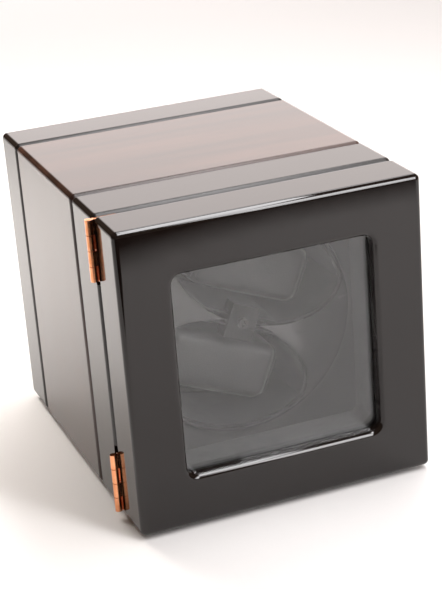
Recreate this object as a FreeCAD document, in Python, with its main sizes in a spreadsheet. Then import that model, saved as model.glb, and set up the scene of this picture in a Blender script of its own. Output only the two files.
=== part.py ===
import FreeCAD, Part
import math
import os
import re
import Sketcher

# A watch winder for two watches: a lacquered box in three rings on an inner liner, a thick glazed
# door on two butt hinges, and a motor-driven rotor with two oval cups, each holding a watch cushion.
# Millimetres, +Z up, the door faces -Y. The origin lies on the surface that the box stands on,
# under the middle of the case. The rotor turns about a line along Y through the case's centre.

DIMENSIONS = {
    # case and its rings, from front to back
    "case_width": 190, "case_height": 190, "foot_height": 3, "edge_radius": 3.3,
    "door_front": -118.5, "door_depth": 35.8, "door_gap": 2.0,
    "band_depth": 40.3, "band_opening": 158, "band_lip": 8,
    "shell_depth": 121.3, "rear_depth": 36.0, "groove": 0.8, "ring_opening": 168,
    "liner_wall": 3, "liner_length": 174.7,
    # feet, from the case's sides and along Y
    "foot_radius": 8.5, "foot_taper": 1, "foot_inset": 17, "front_foot": -61, "rear_foot": 100,
    # door
    "window_width": 125.5, "window_height": 126.5, "window_corner": 6.3, "lip_depth": 7, "lip_radius": 3.4,
    "rebate_width": 138, "rebate_height": 140, "glass_thickness": 3, "glass_play": 0.3,
    "flange_width": 150, "flange_height": 152, "flange_thickness": 1.5,
    "strike_radius": 3.5, "strike_thickness": 1.2, "magnet_radius": 3, "magnet_length": 6,
    "catch_x": 87, "catch_spread": 120, "bumper_radius": 2.5, "bumper_thickness": 1.9,
    # hinges
    "hinge_height": 38, "hinge_inset": 1.5, "pin_offset": 2.2, "knuckle_radius": 2.2, "pin_radius": 1.1,
    "pin_bore": 1.15, "leaf_thickness": 1.4, "leaf_play": 0.1, "leaf_start": 2.6, "leaf_width": 14,
    "knuckle_play": 0.15, "notch_height": 42, "notch_width": 3.5, "notch_depth": 3, "notch_overrun": 4,
    "leaf_recess": 0.5,
    # rotor
    "rest_turn": 23, "rotor_front": -56.5, "rotor_radius": 72, "face_thickness": 2.5, "face_rim": 1.5,
    "drum_wall": 1.4, "oval_length": 58, "oval_height": 36, "oval_offset": 35.4, "cup_wall": 1.5,
    "cup_floor": 3, "cup_clip": 70.3, "spine_half": 3, "plate_front": 5, "plate_thickness": 3,
    "hub_width": 19, "hub_height": 22, "hub_depth": 11, "hub_proud": 0.5, "web_height": 5.8,
    "cushion_width": 84, "cushion_height": 42, "cushion_depth": 47, "cushion_offset": 33,
    "cushion_setback": 8, "cushion_corner": 9, "cushion_edge": 5,
    # shaft, bushes and gears
    "shaft_radius": 4, "shaft_bore": 4.05, "shaft_flange": 12, "shaft_shoulder": 5.5, "shaft_end": 54,
    "ring_groove": 3.3, "ring_radius": 6, "ring_front": 50.2, "ring_thickness": 1,
    "bulkhead_front": 18, "bulkhead_thickness": 6, "surround_front": -52, "surround_thickness": 4,
    "surround_radius": 73.5, "bush_radius": 7, "bush_flange": 10, "bush_lip": 2,
    "gear_module": 1, "gear_backlash": 0.16, "drive_teeth": 60, "idler_small_teeth": 16,
    "idler_large_teeth": 40, "pinion_teeth": 14, "drive_gear_front": 27, "drive_gear_width": 8,
    "idler_front": 28, "idler_small_width": 8, "idler_large_width": 4, "pinion_front": 35.5,
    "pinion_width": 5, "axle_radius": 2, "axle_bore": 2.05,
    "gear_plate_front": 44, "gear_plate_thickness": 2, "gear_plate_width": 96, "gear_plate_height": 100,
    "gear_plate_x": 8, "gear_plate_z": -14, "standoff_radius": 3.5, "standoff_inset": 5,
    "motor_radius": 18, "motor_length": 34, "motor_boss": 5, "motor_shaft": 1.6, "motor_bore": 1.65,
    "motor_screw_spread": 25,
    # back panel and controls
    "panel_front": 102, "panel_thickness": 4, "block_size": 16, "block_length": 20, "control_z": -45,
    "cutout_width": 98, "cutout_height": 27, "control_width": 116, "control_height": 38,
    "control_thickness": 2, "board_front": 92.4, "board_thickness": 1.6, "board_width": 92,
    "board_height": 25,
    # power inlet
    "jack_x": -36, "jack_radius": 5.5, "jack_flange": 7, "jack_proud": 3, "jack_bore": 2.8,
    "jack_pin": 1.05, "jack_nut": 7.8, "jack_nut_height": 2.5,
    # power rocker and its bezel
    "rocker_x": -12, "rocker_tilt": 8, "rocker_width": 9.2, "rocker_height": 13.6, "rocker_depth": 8.5,
    "rocker_below": 2, "rocker_pin": 1, "rocker_pin_length": 11.4, "pivot_depth": 3.5,
    "dish_radius": 30, "dish_centre": 35.7, "dish_width": 12, "bezel_width": 13, "bezel_height": 19,
    "bezel_room_width": 9.8, "bezel_room_height": 16, "bezel_bore": 1.05, "bezel_bore_length": 11.8,
    "rim_width": 15, "rim_height": 21.5, "rim_thickness": 2,
    # turns knob and its rotary switch
    "knob_x": 14, "rotary_radius": 8.5, "rotary_neck": 3.5, "rotary_bore": 2.05, "knob_skirt": 8,
    "knob_grip": 6.8, "knob_stem": 2, "knob_base": 2.7, "skirt_top": 4.2, "knob_top": 9.4,
    "flutes": 12, "flute_radius": 1.1, "flute_circle": 7.4, "pointer_width": 1, "pointer_length": 6.4,
    "pointer_depth": 0.5, "pointer_offset": 3.6,
    # direction switch
    "slider_x": 37, "slider_travel": 3, "slider_width": 4, "slider_height": 3.6, "slider_proud": 3,
    "slot_play": 0.6, "slot_height": 4, "slide_body_width": 20, "slide_body_height": 9,
    "thumb_groove": 0.5, "thumb_groove_pitch": 1.1, "thumb_groove_depth": 0.4,
}

DOC = FreeCAD.newDocument("watch_winder")
SHEET = DOC.addObject("Spreadsheet::Sheet", "dims")
for row, (alias, number) in enumerate(DIMENSIONS.items(), 1):
    SHEET.set("A%d" % row, alias)
    SHEET.set("B%d" % row, str(number))
    SHEET.setAlias("B%d" % row, alias)
DOC.recompute()

SUB_PARTS = []
ALONG_Y = FreeCAD.Rotation(FreeCAD.Vector(1, 0, 0), -90)
AGAINST_Y = FreeCAD.Rotation(FreeCAD.Vector(1, 0, 0), 90)
ALONG_X = FreeCAD.Rotation(FreeCAD.Vector(0, 1, 0), 90)
UPRIGHT = FreeCAD.Rotation()
PRESSURE_ANGLE = math.radians(20)

# Places that follow from the driving dimensions, written as sums of their names.
AXIS_Z = "(foot_height + case_height / 2)"
DOOR_BACK = "(door_front + door_depth)"
BAND_FRONT = "(door_front + door_depth + door_gap)"
SHELL_FRONT = "(door_front + door_depth + door_gap + band_depth + groove)"
REAR_FRONT = "(door_front + door_depth + door_gap + band_depth + shell_depth + 2 * groove)"
CHAMBER = "(ring_opening - 2 * liner_wall)"
GLASS_FRONT = "(door_front + lip_depth)"
GLASS_BACK = "(door_front + lip_depth + glass_thickness)"
BULKHEAD_BACK = "(bulkhead_front + bulkhead_thickness)"
GEAR_PLATE_BACK = "(gear_plate_front + gear_plate_thickness)"
FACE_BACK = "(rotor_front + face_thickness)"
PANEL_BACK = "(panel_front + panel_thickness)"
CONTROL_BACK = "(panel_front + panel_thickness + control_thickness)"
CONTROL_LINE = "(foot_height + case_height / 2 + control_z)"
BOARD_BACK = "(board_front + board_thickness)"
SLOT_WIDTH = "(2 * slider_travel + slider_width + slot_play)"


def size(name):
    """A driving dimension as a number, read from the sheet."""
    return float(SHEET.get(name))


def formula(text):
    """A sum of dimension names, written as an expression on the sheet."""
    return re.sub(r"[a-z_]+", lambda word: "dims." + word.group(0), str(text))


def bind(item, **sizes):
    """Tie properties of an object to formulas."""
    for name, text in sizes.items():
        item.setExpression(name, formula(text))
    return item


def place(item, x, y, z, turn=UPRIGHT):
    """Turn an object, and tie its position to formulas."""
    item.Placement = FreeCAD.Placement(FreeCAD.Vector(), turn)
    for axis, text in zip("xyz", (x, y, z)):
        item.setExpression("Placement.Base." + axis, formula(text))
    return item


def keep(item, label):
    """Name an object as a finished sub-part."""
    item.Label = label
    SUB_PARTS.append(item)
    return item


# ---------------------------------------------------------------- solids


def rod(name, radius, start, end, x=0, z=0):
    """A cylinder along Y from start to end."""
    item = bind(DOC.addObject("Part::Cylinder", name), Radius=radius, Height="%s - (%s)" % (end, start))
    return place(item, x, start, z, ALONG_Y)


def slab(name, width, height, start, end, x=0, z=0):
    """A block centred on x and z, from start to end along Y."""
    item = DOC.addObject("Part::Box", name)
    bind(item, Length=width, Width="%s - (%s)" % (end, start), Height=height)
    return place(item, "%s - (%s) / 2" % (x, width), start, "%s - (%s) / 2" % (z, height))


def fuse(name, *items):
    item = DOC.addObject("Part::MultiFuse", name)
    item.Shapes = list(items)
    return item


def cut(name, base, *tools):
    """The base less the tools."""
    item = DOC.addObject("Part::Cut", name)
    item.Base = base
    item.Tool = tools[0] if len(tools) == 1 else fuse(name + "_tools", *tools)
    return item


def common(name, *items):
    item = DOC.addObject("Part::MultiCommon", name)
    item.Shapes = list(items)
    return item


def copies(name, *sets):
    """Equal separate solids. sets holds (pattern, placements), each pattern modelled at the origin."""
    DOC.recompute()
    solids = []
    for pattern, places in sets:
        for spot in places:
            solid = pattern.Shape.copy()
            solid.Placement = spot
            solids.append(solid)
    item = DOC.addObject("Part::Feature", name)
    item.Shape = Part.makeCompound(solids)
    return item


def spots(points, turn=UPRIGHT):
    return [FreeCAD.Placement(FreeCAD.Vector(*point), turn) for point in points]


def screw_pattern(name, head_radius, head, shank_radius, length, countersunk=True):
    """A cross-head screw standing on the origin, head down, its shank running up +Z, and the plain
    solid that it takes room for. A countersunk head starts at the origin; a pan head lies below it."""
    if countersunk:
        crown = bind(DOC.addObject("Part::Cone", name + "_head"), Radius1=head_radius,
                     Radius2=shank_radius, Height=head)
        bottom = 0
    else:
        crown = bind(DOC.addObject("Part::Cylinder", name + "_head"), Radius=head_radius, Height=head)
        bottom = -head
    place(crown, 0, 0, bottom)
    shank = bind(DOC.addObject("Part::Cylinder", name + "_shank"), Radius=shank_radius, Height=length)
    recess = []
    for axis in (0, 1):
        arm = DOC.addObject("Part::Box", "%s_arm%d" % (name, axis))
        long_side = head_radius * 1.1
        short_side = head_radius * 0.26
        width, depth = (long_side, short_side) if axis == 0 else (short_side, long_side)
        bind(arm, Length=width, Width=depth, Height=head * 0.55)
        place(arm, -width / 2, -depth / 2, bottom)
        recess.append(arm)
    solid = fuse(name + "_solid", crown, shank)
    return cut(name, solid, *recess), solid


def screw_set(label, *sets, finish=None):
    """Keep screws as one sub-part and return the room that they take. sets holds (screw pattern, places)."""
    screws = copies(label, *[(screw, places) for (screw, _), places in sets])
    (finish or keep)(screws, label)
    return copies(label + "_room", *[(solid, places) for (_, solid), places in sets])


# ---------------------------------------------------------------- sketched bodies


def rectangle_sketch(body, name, width, height, start):
    """A rectangle centred on the body's axis, at a depth behind the body's front plane."""
    sketch = body.newObject("Sketcher::SketchObject", name)
    plane = [item for item in body.Origin.OriginFeatures if item.Role == "XZ_Plane"][0]
    sketch.AttachmentSupport = [(plane, "")]
    sketch.MapMode = "FlatFace"
    sketch.setExpression("AttachmentOffset.Base.z", formula("-(%s)" % start))
    corners = [FreeCAD.Vector(x, z, 0) for x, z in ((-10, -10), (10, -10), (10, 10), (-10, 10))]
    for first in range(4):
        sketch.addGeometry(Part.LineSegment(corners[first], corners[(first + 1) % 4]), False)
    for first in range(4):
        sketch.addConstraint(Sketcher.Constraint("Coincident", first, 2, (first + 1) % 4, 1))
    for line, way in enumerate(("Horizontal", "Vertical", "Horizontal", "Vertical")):
        sketch.addConstraint(Sketcher.Constraint(way, line))
    sketch.addConstraint(Sketcher.Constraint("Symmetric", 0, 1, 2, 1, -1, 1))
    for line, kind, text in ((0, "DistanceX", width), (1, "DistanceY", height)):
        number = sketch.addConstraint(Sketcher.Constraint(kind, line, 1, line, 2, 20.0))
        sketch.renameConstraint(number, kind)
        sketch.setExpression("Constraints." + kind, formula(text))
    return sketch


def padded_body(name, width, height, depth):
    """A body whose first feature is a block centred on its axis, running back from its front plane."""
    body = DOC.addObject("PartDesign::Body", name)
    pad = body.newObject("PartDesign::Pad", name + "_pad")
    pad.Profile = rectangle_sketch(body, name + "_outline", width, height, "0")
    pad.Reversed = True
    bind(pad, Length=depth)
    body.Tip = pad
    DOC.recompute()
    return body


def pocket(body, width, height, start, depth):
    """Cut a centred rectangle into the body, from a depth behind its front plane towards the back."""
    before = body.Shape.Volume
    name = "%s_pocket%d" % (body.Name, len(body.Group))
    item = body.newObject("PartDesign::Pocket", name)
    item.Profile = rectangle_sketch(body, name + "_outline", width, height, start)
    bind(item, Length=depth)
    body.Tip = item
    DOC.recompute()
    if body.Shape.Volume > before - 1:
        raise RuntimeError(name + " cuts nothing")
    return item


def round_edges(body, radius, chosen):
    """Round those edges of the body that chosen(edge box, body box) accepts."""
    last = body.Tip
    names = []
    for number, edge in enumerate(last.Shape.Edges, 1):
        if chosen(edge.BoundBox, last.Shape.BoundBox):
            names.append("Edge%d" % number)
    fillet = body.newObject("PartDesign::Fillet", "%s_fillet%d" % (body.Name, len(body.Group)))
    fillet.Base = (last, names)
    bind(fillet, Radius=radius)
    body.Tip = fillet
    DOC.recompute()


def on_limit(edge, whole, axis):
    """True where an edge lies wholly in one of the two faces of the box whole across this axis."""
    low, high = getattr(edge, axis + "Min"), getattr(edge, axis + "Max")
    limits = (getattr(whole, axis + "Min"), getattr(whole, axis + "Max"))
    return high - low < 1e-4 and min(abs(low - limit) for limit in limits) < 1e-4


def is_outer(edge, whole):
    """The twelve edges of the body's outer box."""
    return sum(on_limit(edge, whole, axis) for axis in "XYZ") == 2


def runs_back(edge, whole):
    """An inner edge that runs along Y."""
    straight = edge.XLength < 1e-4 and edge.ZLength < 1e-4
    return straight and not is_outer(edge, whole)


def opening_rim(edge, whole):
    """The edge between the body's front face and its opening."""
    in_front = abs(edge.YMax - whole.YMin) < 1e-4
    return in_front and not on_limit(edge, whole, "X") and not on_limit(edge, whole, "Z")


def ring_body(name, depth, front, openings):
    """A square case ring with rounded outer edges. openings lists (width, height, start, depth)."""
    body = padded_body(name, "case_width", "case_height", depth)
    for opening in openings:
        pocket(body, *opening)
    round_edges(body, "edge_radius", is_outer)
    return place(body, 0, front, AXIS_Z)


# ---------------------------------------------------------------- case


def hinge_bottoms():
    """Heights of the lower ends of the lower and the upper hinge."""
    low = size("foot_height") + size("hinge_inset")
    high = size("foot_height") + size("case_height") - size("hinge_inset") - size("hinge_height")
    return {"lower": low, "upper": high}


def hinge_notches(name, face, inward):
    """Recesses for both hinges in a face across Y. inward is 1 into the case and -1 into the door."""
    side = "-case_width / 2"
    cutters = []
    for which, bottom in hinge_bottoms().items():
        extra = size("notch_height") - size("hinge_height")
        middle = bottom + size("hinge_height") / 2 + (extra / 2 if which == "lower" else -extra / 2)
        for part, width, depth in (("relief", "notch_width", "notch_depth"),
                                   ("seat", "leaf_start + leaf_width - pin_offset", "leaf_recess")):
            start, end = (face, "%s + %s" % (face, depth))
            if inward < 0:
                start, end = ("%s - %s" % (face, depth), face)
            reach = "(%s + notch_overrun)" % width
            cutters.append(slab("%s_%s_%s" % (name, which, part), reach, "notch_height", start, end,
                                "%s - notch_overrun + %s / 2" % (side, reach), middle))
    return fuse(name, *cutters)


def catch_points(x, spread):
    middle = size("foot_height") + size("case_height") / 2
    return [(x, middle - spread / 2), (x, middle + spread / 2)]


def make_front_band(hinge_screws, magnets):
    blank = ring_body("front_band_blank", "band_depth", BAND_FRONT, (
        ("band_opening", "band_opening", "0", "band_depth"),
        ("ring_opening", "ring_opening", "band_lip", "band_depth - band_lip")))
    notches = hinge_notches("case_notches", BAND_FRONT, 1)
    keep(cut("front_band", blank, notches, hinge_screws, magnets), "front_band")


def make_rings():
    opening = (("ring_opening", "ring_opening", "0", "shell_depth"),)
    keep(ring_body("body_shell", "shell_depth", SHELL_FRONT, opening), "body_shell")
    opening = (("ring_opening", "ring_opening", "0", "rear_depth"),)
    keep(ring_body("rear_band", "rear_depth", REAR_FRONT, opening), "rear_band")


def make_liner():
    body = padded_body("case_liner", "ring_opening", "ring_opening", "liner_length")
    pocket(body, CHAMBER, CHAMBER, "0", "liner_length")
    keep(place(body, 0, "%s + band_lip" % BAND_FRONT, AXIS_Z), "case_liner")


def make_feet():
    """Rubber feet under the front band and the rear band, narrower at the floor."""
    foot = bind(DOC.addObject("Part::Cone", "foot_pattern"), Radius1="foot_radius - foot_taper",
                Radius2="foot_radius", Height="foot_height")
    across = size("case_width") / 2 - size("foot_inset")
    along = (size("front_foot"), size("rear_foot"))
    points = [(x, y, 0) for x in (-across, across) for y in along]
    keep(copies("rubber_feet", (foot, spots(points))), "rubber_feet")


def make_surround():
    """The lined panel round the rotor, level with the drum."""
    end = "surround_front + surround_thickness"
    board = slab("surround_board", CHAMBER, CHAMBER, "surround_front", end, 0, AXIS_Z)
    hole = rod("surround_hole", "surround_radius", "surround_front - 1", end + " + 1", 0, AXIS_Z)
    keep(cut("rotor_surround", board, hole), "rotor_surround")


def make_catches():
    """Magnets in the case and strike plates in the door, with soft bumpers between."""
    face = size("door_front") + size("door_depth") + size("door_gap")
    points = catch_points(size("catch_x"), size("catch_spread"))
    magnet = bind(DOC.addObject("Part::Cylinder", "magnet_pattern"), Radius="magnet_radius",
                  Height="magnet_length")
    magnets = copies("door_magnets", (magnet, spots([(x, face, z) for x, z in points], ALONG_Y)))
    strike = bind(DOC.addObject("Part::Cylinder", "strike_pattern"), Radius="strike_radius",
                  Height="strike_thickness")
    back = size("door_front") + size("door_depth")
    strikes = copies("strike_plates", (strike, spots([(x, back, z) for x, z in points], AGAINST_Y)))
    bumper = bind(DOC.addObject("Part::Cone", "bumper_pattern"), Radius1="bumper_radius",
                  Radius2="bumper_radius - 0.6", Height="bumper_thickness")
    rests = catch_points(size("catch_x"), size("catch_spread") + 34)
    rests += catch_points(-size("catch_x"), size("catch_spread") / 2)
    bumpers = copies("door_bumpers", (bumper, spots([(x, face, z) for x, z in rests], AGAINST_Y)))
    for item in (magnets, strikes, bumpers):
        keep(item, item.Name)
    return magnets, strikes


# ---------------------------------------------------------------- door


def make_door(hinge_screws, strikes):
    blank = padded_body("door_blank", "case_width", "case_height", "door_depth")
    pocket(blank, "window_width", "window_height", "0", "lip_depth")
    round_edges(blank, "window_corner", runs_back)
    pocket(blank, "rebate_width", "rebate_height", "lip_depth", "door_depth - lip_depth")
    pocket(blank, "flange_width", "flange_height", "door_depth - flange_thickness", "flange_thickness")
    round_edges(blank, "lip_radius", opening_rim)
    round_edges(blank, "edge_radius", is_outer)
    place(blank, 0, "door_front", AXIS_Z)
    screws = make_glazing_frame()
    notches = hinge_notches("door_notches", DOOR_BACK, -1)
    keep(cut("door_frame", blank, notches, hinge_screws, strikes, screws), "door_frame")


def make_glazing_frame():
    """The inner frame that holds the glass, with a flange screwed into the door's back."""
    body = padded_body("glazing_blank", "rebate_width", "rebate_height",
                       "door_depth - lip_depth - glass_thickness")
    flange = body.newObject("PartDesign::Pad", "glazing_flange")
    start = "door_depth - lip_depth - glass_thickness - flange_thickness"
    flange.Profile = rectangle_sketch(body, "flange_outline", "flange_width", "flange_height", start)
    flange.Reversed = True
    bind(flange, Length="flange_thickness")
    body.Tip = flange
    DOC.recompute()
    pocket(body, "window_width", "window_height", "0", "door_depth - lip_depth - glass_thickness")
    round_edges(body, "window_corner", lambda edge, whole: runs_back(edge, whole)
                and edge.XMax < size("window_width") / 2 + 1 and edge.XMin > -size("window_width") / 2 - 1)
    place(body, 0, GLASS_BACK, AXIS_Z)
    pattern = screw_pattern("glazing_screw", 2.2, 1.2, 1.1, 9)
    middle = size("foot_height") + size("case_height") / 2
    back = size("door_front") + size("door_depth")
    aside = (size("rebate_width") + size("flange_width")) / 4
    above = (size("rebate_height") + size("flange_height")) / 4
    points = [(-aside, 0), (aside, 0), (0, -above), (0, above)]
    places = spots([(x, back, middle + z) for x, z in points], AGAINST_Y)
    screws = screw_set("glazing_screws", (pattern, places))
    keep(cut("glazing_frame", body, screws), "glazing_frame")
    return screws


def make_glass():
    play = "2 * glass_play"
    glass = slab("window_glass", "rebate_width - " + play, "rebate_height - " + play,
                 GLASS_FRONT, GLASS_BACK, 0, AXIS_Z)
    keep(glass, "window_glass")


# ---------------------------------------------------------------- hinges


def hinge_leaf(label, bottom, side, knuckles, screws):
    """One leaf of a butt hinge. side is 1 for the case's leaf and -1 for the door's."""
    pin_x = "(-case_width / 2 - pin_offset)"
    pin_y = "(%s + door_gap / 2)" % DOOR_BACK
    near, far = "leaf_play", "(leaf_play + leaf_thickness)"
    if side > 0:
        start, end = "%s + %s" % (pin_y, near), "%s + %s" % (pin_y, far)
    else:
        start, end = "%s - %s" % (pin_y, far), "%s - %s" % (pin_y, near)
    middle = "%s + hinge_height / 2" % bottom
    pieces = [slab(label + "_plate", "leaf_width", "hinge_height", start, end,
                   "%s + leaf_start + leaf_width / 2" % pin_x, middle)]
    pitch = "hinge_height / 4"
    length = "%s - 2 * knuckle_play" % pitch
    for number in knuckles:
        low = "%s + %d * %s + knuckle_play" % (bottom, number, pitch)
        knuckle = DOC.addObject("Part::Cylinder", "%s_knuckle%d" % (label, number))
        place(bind(knuckle, Radius="knuckle_radius", Height=length), pin_x, pin_y, low)
        tab = slab("%s_tab%d" % (label, number), "leaf_start + 0.5", length, start, end,
                   "%s + (leaf_start + 0.5) / 2" % pin_x, "%s + (%s) / 2" % (low, length))
        pieces += [knuckle, tab]
    bore = DOC.addObject("Part::Cylinder", label + "_bore")
    place(bind(bore, Radius="pin_bore", Height="hinge_height + 2"), pin_x, pin_y, "%s - 1" % bottom)
    keep(cut(label, fuse(label + "_solid", *pieces), bore, screws), label)


def make_hinges():
    """Two hinges with four knuckles each; the door's leaves take the first and third from the top."""
    pattern = screw_pattern("hinge_screw", 2.6, 1.3, 1.25, 10)
    pin_y = size("door_front") + size("door_depth") + size("door_gap") / 2
    face = size("leaf_play") * 2
    screw_x = -size("case_width") / 2 + 8.5
    heights = []
    for bottom in hinge_bottoms().values():
        heights += [bottom + size("hinge_height") * share for share in (0.2, 0.8)]
    case_points = [(screw_x, pin_y + face / 2, z) for z in heights]
    door_points = [(screw_x, pin_y - face / 2, z) for z in heights]
    case_screws = screw_set("hinge_case_screws", (pattern, spots(case_points, ALONG_Y)))
    door_screws = screw_set("hinge_door_screws", (pattern, spots(door_points, AGAINST_Y)))
    for which, bottom in hinge_bottoms().items():
        hinge_leaf(which + "_hinge_door_leaf", bottom, -1, (1, 3), door_screws)
        hinge_leaf(which + "_hinge_case_leaf", bottom, 1, (0, 2), case_screws)
        pin = DOC.addObject("Part::Cylinder", which + "_hinge_pin")
        bind(pin, Radius="pin_radius", Height="hinge_height")
        place(pin, "-case_width / 2 - pin_offset", "%s + door_gap / 2" % DOOR_BACK, bottom)
        keep(pin, which + "_hinge_pin")
    return case_screws, door_screws


# ---------------------------------------------------------------- rotor
# Rotor pieces are modelled about the Z axis, with Z as the depth along the case, then turned over
# to lie along Y and by the rest turn. Local X runs along the cups and the upper cup is at -Y.


def turned_in(item, label, turn=None):
    """Lay a rotor piece along the case's axis, turned clockwise by the rest turn, and keep it."""
    angle = size("rest_turn") if turn is None else turn
    spin = FreeCAD.Rotation(FreeCAD.Vector(0, 1, 0), angle)
    place(item, 0, 0, AXIS_Z, spin.multiply(ALONG_Y))
    return keep(item, label)


def upright_rod(name, radius, start, end, x=0, y=0):
    item = DOC.addObject("Part::Cylinder", name)
    bind(item, Radius=radius, Height="%s - (%s)" % (end, start))
    return place(item, x, y, start)


def upright_box(name, width, height, start, end, y=0):
    item = DOC.addObject("Part::Box", name)
    bind(item, Length=width, Width=height, Height="%s - (%s)" % (end, start))
    return place(item, "-(%s) / 2" % width, "%s - (%s) / 2" % (y, height), start)


def oval_column(name, shrink, clip, side, start, end):
    """A cup's oval, cut off by a circle round the hub. side is -1 for the upper cup, 1 for the lower."""
    oval = DOC.addObject("Part::Ellipse", name + "_oval")
    bind(oval, MajorRadius="oval_length - " + shrink, MinorRadius="oval_height - " + shrink)
    place(oval, 0, "%d * oval_offset" % side, start)
    column = DOC.addObject("Part::Extrusion", name + "_column")
    column.Base = oval
    column.DirMode = "Custom"
    column.Dir = FreeCAD.Vector(0, 0, 1)
    column.Solid = True
    bind(column, LengthFwd="%s - (%s)" % (end, start))
    return common(name, column, upright_rod(name + "_circle", clip, start, end))


def half_space(name, side, gap, start, end):
    """The side of the rotor that a cup may fill, gap away from the spine's middle."""
    reach = "(2 * rotor_radius)"
    item = DOC.addObject("Part::Box", name)
    bind(item, Length=reach, Width=reach, Height="%s - (%s)" % (end, start))
    low = gap if side > 0 else "-(%s) - %s" % (gap, reach)
    return place(item, "-rotor_radius", low, start)


def make_rotor_face():
    disc = upright_rod("face_disc", "rotor_radius", "rotor_front", FACE_BACK)
    holes = []
    for side in (-1, 1):
        holes.append(oval_column("face_hole%d" % (side + 1), "0", "rotor_radius - face_rim", side,
                                 "rotor_front - 1", FACE_BACK + " + 1"))
    turned_in(cut("rotor_face", disc, *holes), "rotor_face")


def make_rotor_drum():
    outer = upright_rod("drum_outer", "rotor_radius", FACE_BACK, "plate_front")
    inner = upright_rod("drum_inner", "rotor_radius - drum_wall", FACE_BACK + " - 1", "plate_front + 1")
    turned_in(cut("rotor_drum", outer, inner), "rotor_drum")


def make_cup(label, side, hub_room, screws):
    """An oval cup with a floor, flattened along the rotor's spine and notched for the hub block."""
    floor = "plate_front - cup_floor"
    outer = common(label + "_outer",
                   oval_column(label + "_full", "0", "cup_clip", side, FACE_BACK, "plate_front"),
                   half_space(label + "_side", side, "spine_half", FACE_BACK, "plate_front"))
    inner = common(label + "_inner",
                   oval_column(label + "_room", "cup_wall", "cup_clip - cup_wall", side,
                               FACE_BACK + " - 1", floor),
                   half_space(label + "_room_side", side, "spine_half + cup_wall",
                              FACE_BACK + " - 1", floor))
    turned_in(cut(label, outer, inner, hub_room, screws), label)


def make_hub(screws):
    """The hub block between the cups, with a web that runs back to the rotor's rear plate."""
    front = "rotor_front - hub_proud"
    back = "rotor_front - hub_proud + hub_depth"
    screw = screw_pattern("hub_screw_pattern", 3.4, 2.2, 1.9, 20, countersunk=False)
    places = spots([(0, 0, size("rotor_front") - size("hub_proud"))])
    head = screw_set("hub_screw", (screw, places), finish=turned_in)
    block = upright_box("hub_front", "hub_width", "hub_height", front, back)
    web = upright_box("hub_web", "hub_width", "web_height", back, "plate_front")
    turned_in(cut("hub_block", fuse("hub_solid", block, web), head, screws), "hub_block")
    return upright_box("hub_room", "hub_width", "hub_height", front, back)


def rotor_screw_places():
    """Two screws through the shaft's flange into the web, and one through the plate into each cup."""
    flange_back = size("plate_front") + 2 * size("plate_thickness")
    plate_back = size("plate_front") + size("plate_thickness")
    down = FreeCAD.Rotation(FreeCAD.Vector(1, 0, 0), 180)
    return (spots([(-7.5, 0, flange_back), (7.5, 0, flange_back)], down),
            spots([(0, -36, plate_back), (0, 36, plate_back)], down))


def make_rotor_back():
    """Rear plate, shaft, drive gear, retaining ring and screws, and what the cups and the hub need."""
    long_places, short_places = rotor_screw_places()
    long_pattern = screw_pattern("web_screw", 2.6, 1.8, 1.4, 16, countersunk=False)
    short_pattern = screw_pattern("cup_screw", 2.6, 1.8, 1.4, 5.5, countersunk=False)
    screws = screw_set("rotor_screws", (long_pattern, long_places), (short_pattern, short_places),
                       finish=turned_in)
    plate_back = "(plate_front + plate_thickness)"
    flange_back = "(plate_front + 2 * plate_thickness)"
    plate = upright_rod("plate_disc", "rotor_radius", "plate_front", plate_back)
    turned_in(cut("rotor_back_plate", plate, screws), "rotor_back_plate")
    shaft = fuse("shaft_solid",
                 upright_rod("shaft_flange_disc", "shaft_flange", plate_back, flange_back),
                 upright_rod("shaft_step", "shaft_shoulder", flange_back, "bulkhead_front - bush_lip - 0.1"),
                 upright_rod("shaft_rod", "shaft_radius", flange_back, "shaft_end"))
    ring_back = "ring_front + ring_thickness"
    groove = cut("shaft_groove", upright_rod("groove_outer", "shaft_radius + 1", "ring_front", ring_back),
                 upright_rod("groove_inner", "ring_groove", "ring_front - 1", ring_back + " + 1"))
    turned_in(cut("rotor_shaft", shaft, groove, screws), "rotor_shaft")
    mouth = upright_box("ring_mouth", "3.2", "ring_radius * 2", "ring_front - 1", ring_back + " + 1",
                        "-ring_radius")
    ring = cut("retaining_ring", upright_rod("ring_disc", "ring_radius", "ring_front", ring_back),
               upright_rod("ring_bore", "ring_groove", "ring_front - 1", ring_back + " + 1"), mouth)
    turned_in(ring, "retaining_ring")
    return screws


def make_cushion(label, side):
    """A watch cushion as a plain block with rounded edges, lying in its cup."""
    body = padded_body(label, "cushion_width", "cushion_height", "cushion_depth")
    round_edges(body, "cushion_corner", lambda edge, whole: edge.XLength < 1e-4 and edge.ZLength < 1e-4)
    round_edges(body, "cushion_edge", lambda edge, whole: edge.YLength < 1e-4)
    turn = math.radians(size("rest_turn"))
    height = "%.6f * cushion_offset" % (side * math.cos(turn))
    place(body, "%.6f * cushion_offset" % (side * math.sin(turn)), "rotor_front + cushion_setback",
          "%s + %s" % (AXIS_Z, height), FreeCAD.Rotation(FreeCAD.Vector(0, 1, 0), size("rest_turn")))
    keep(body, label)


# ---------------------------------------------------------------- gear train


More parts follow.
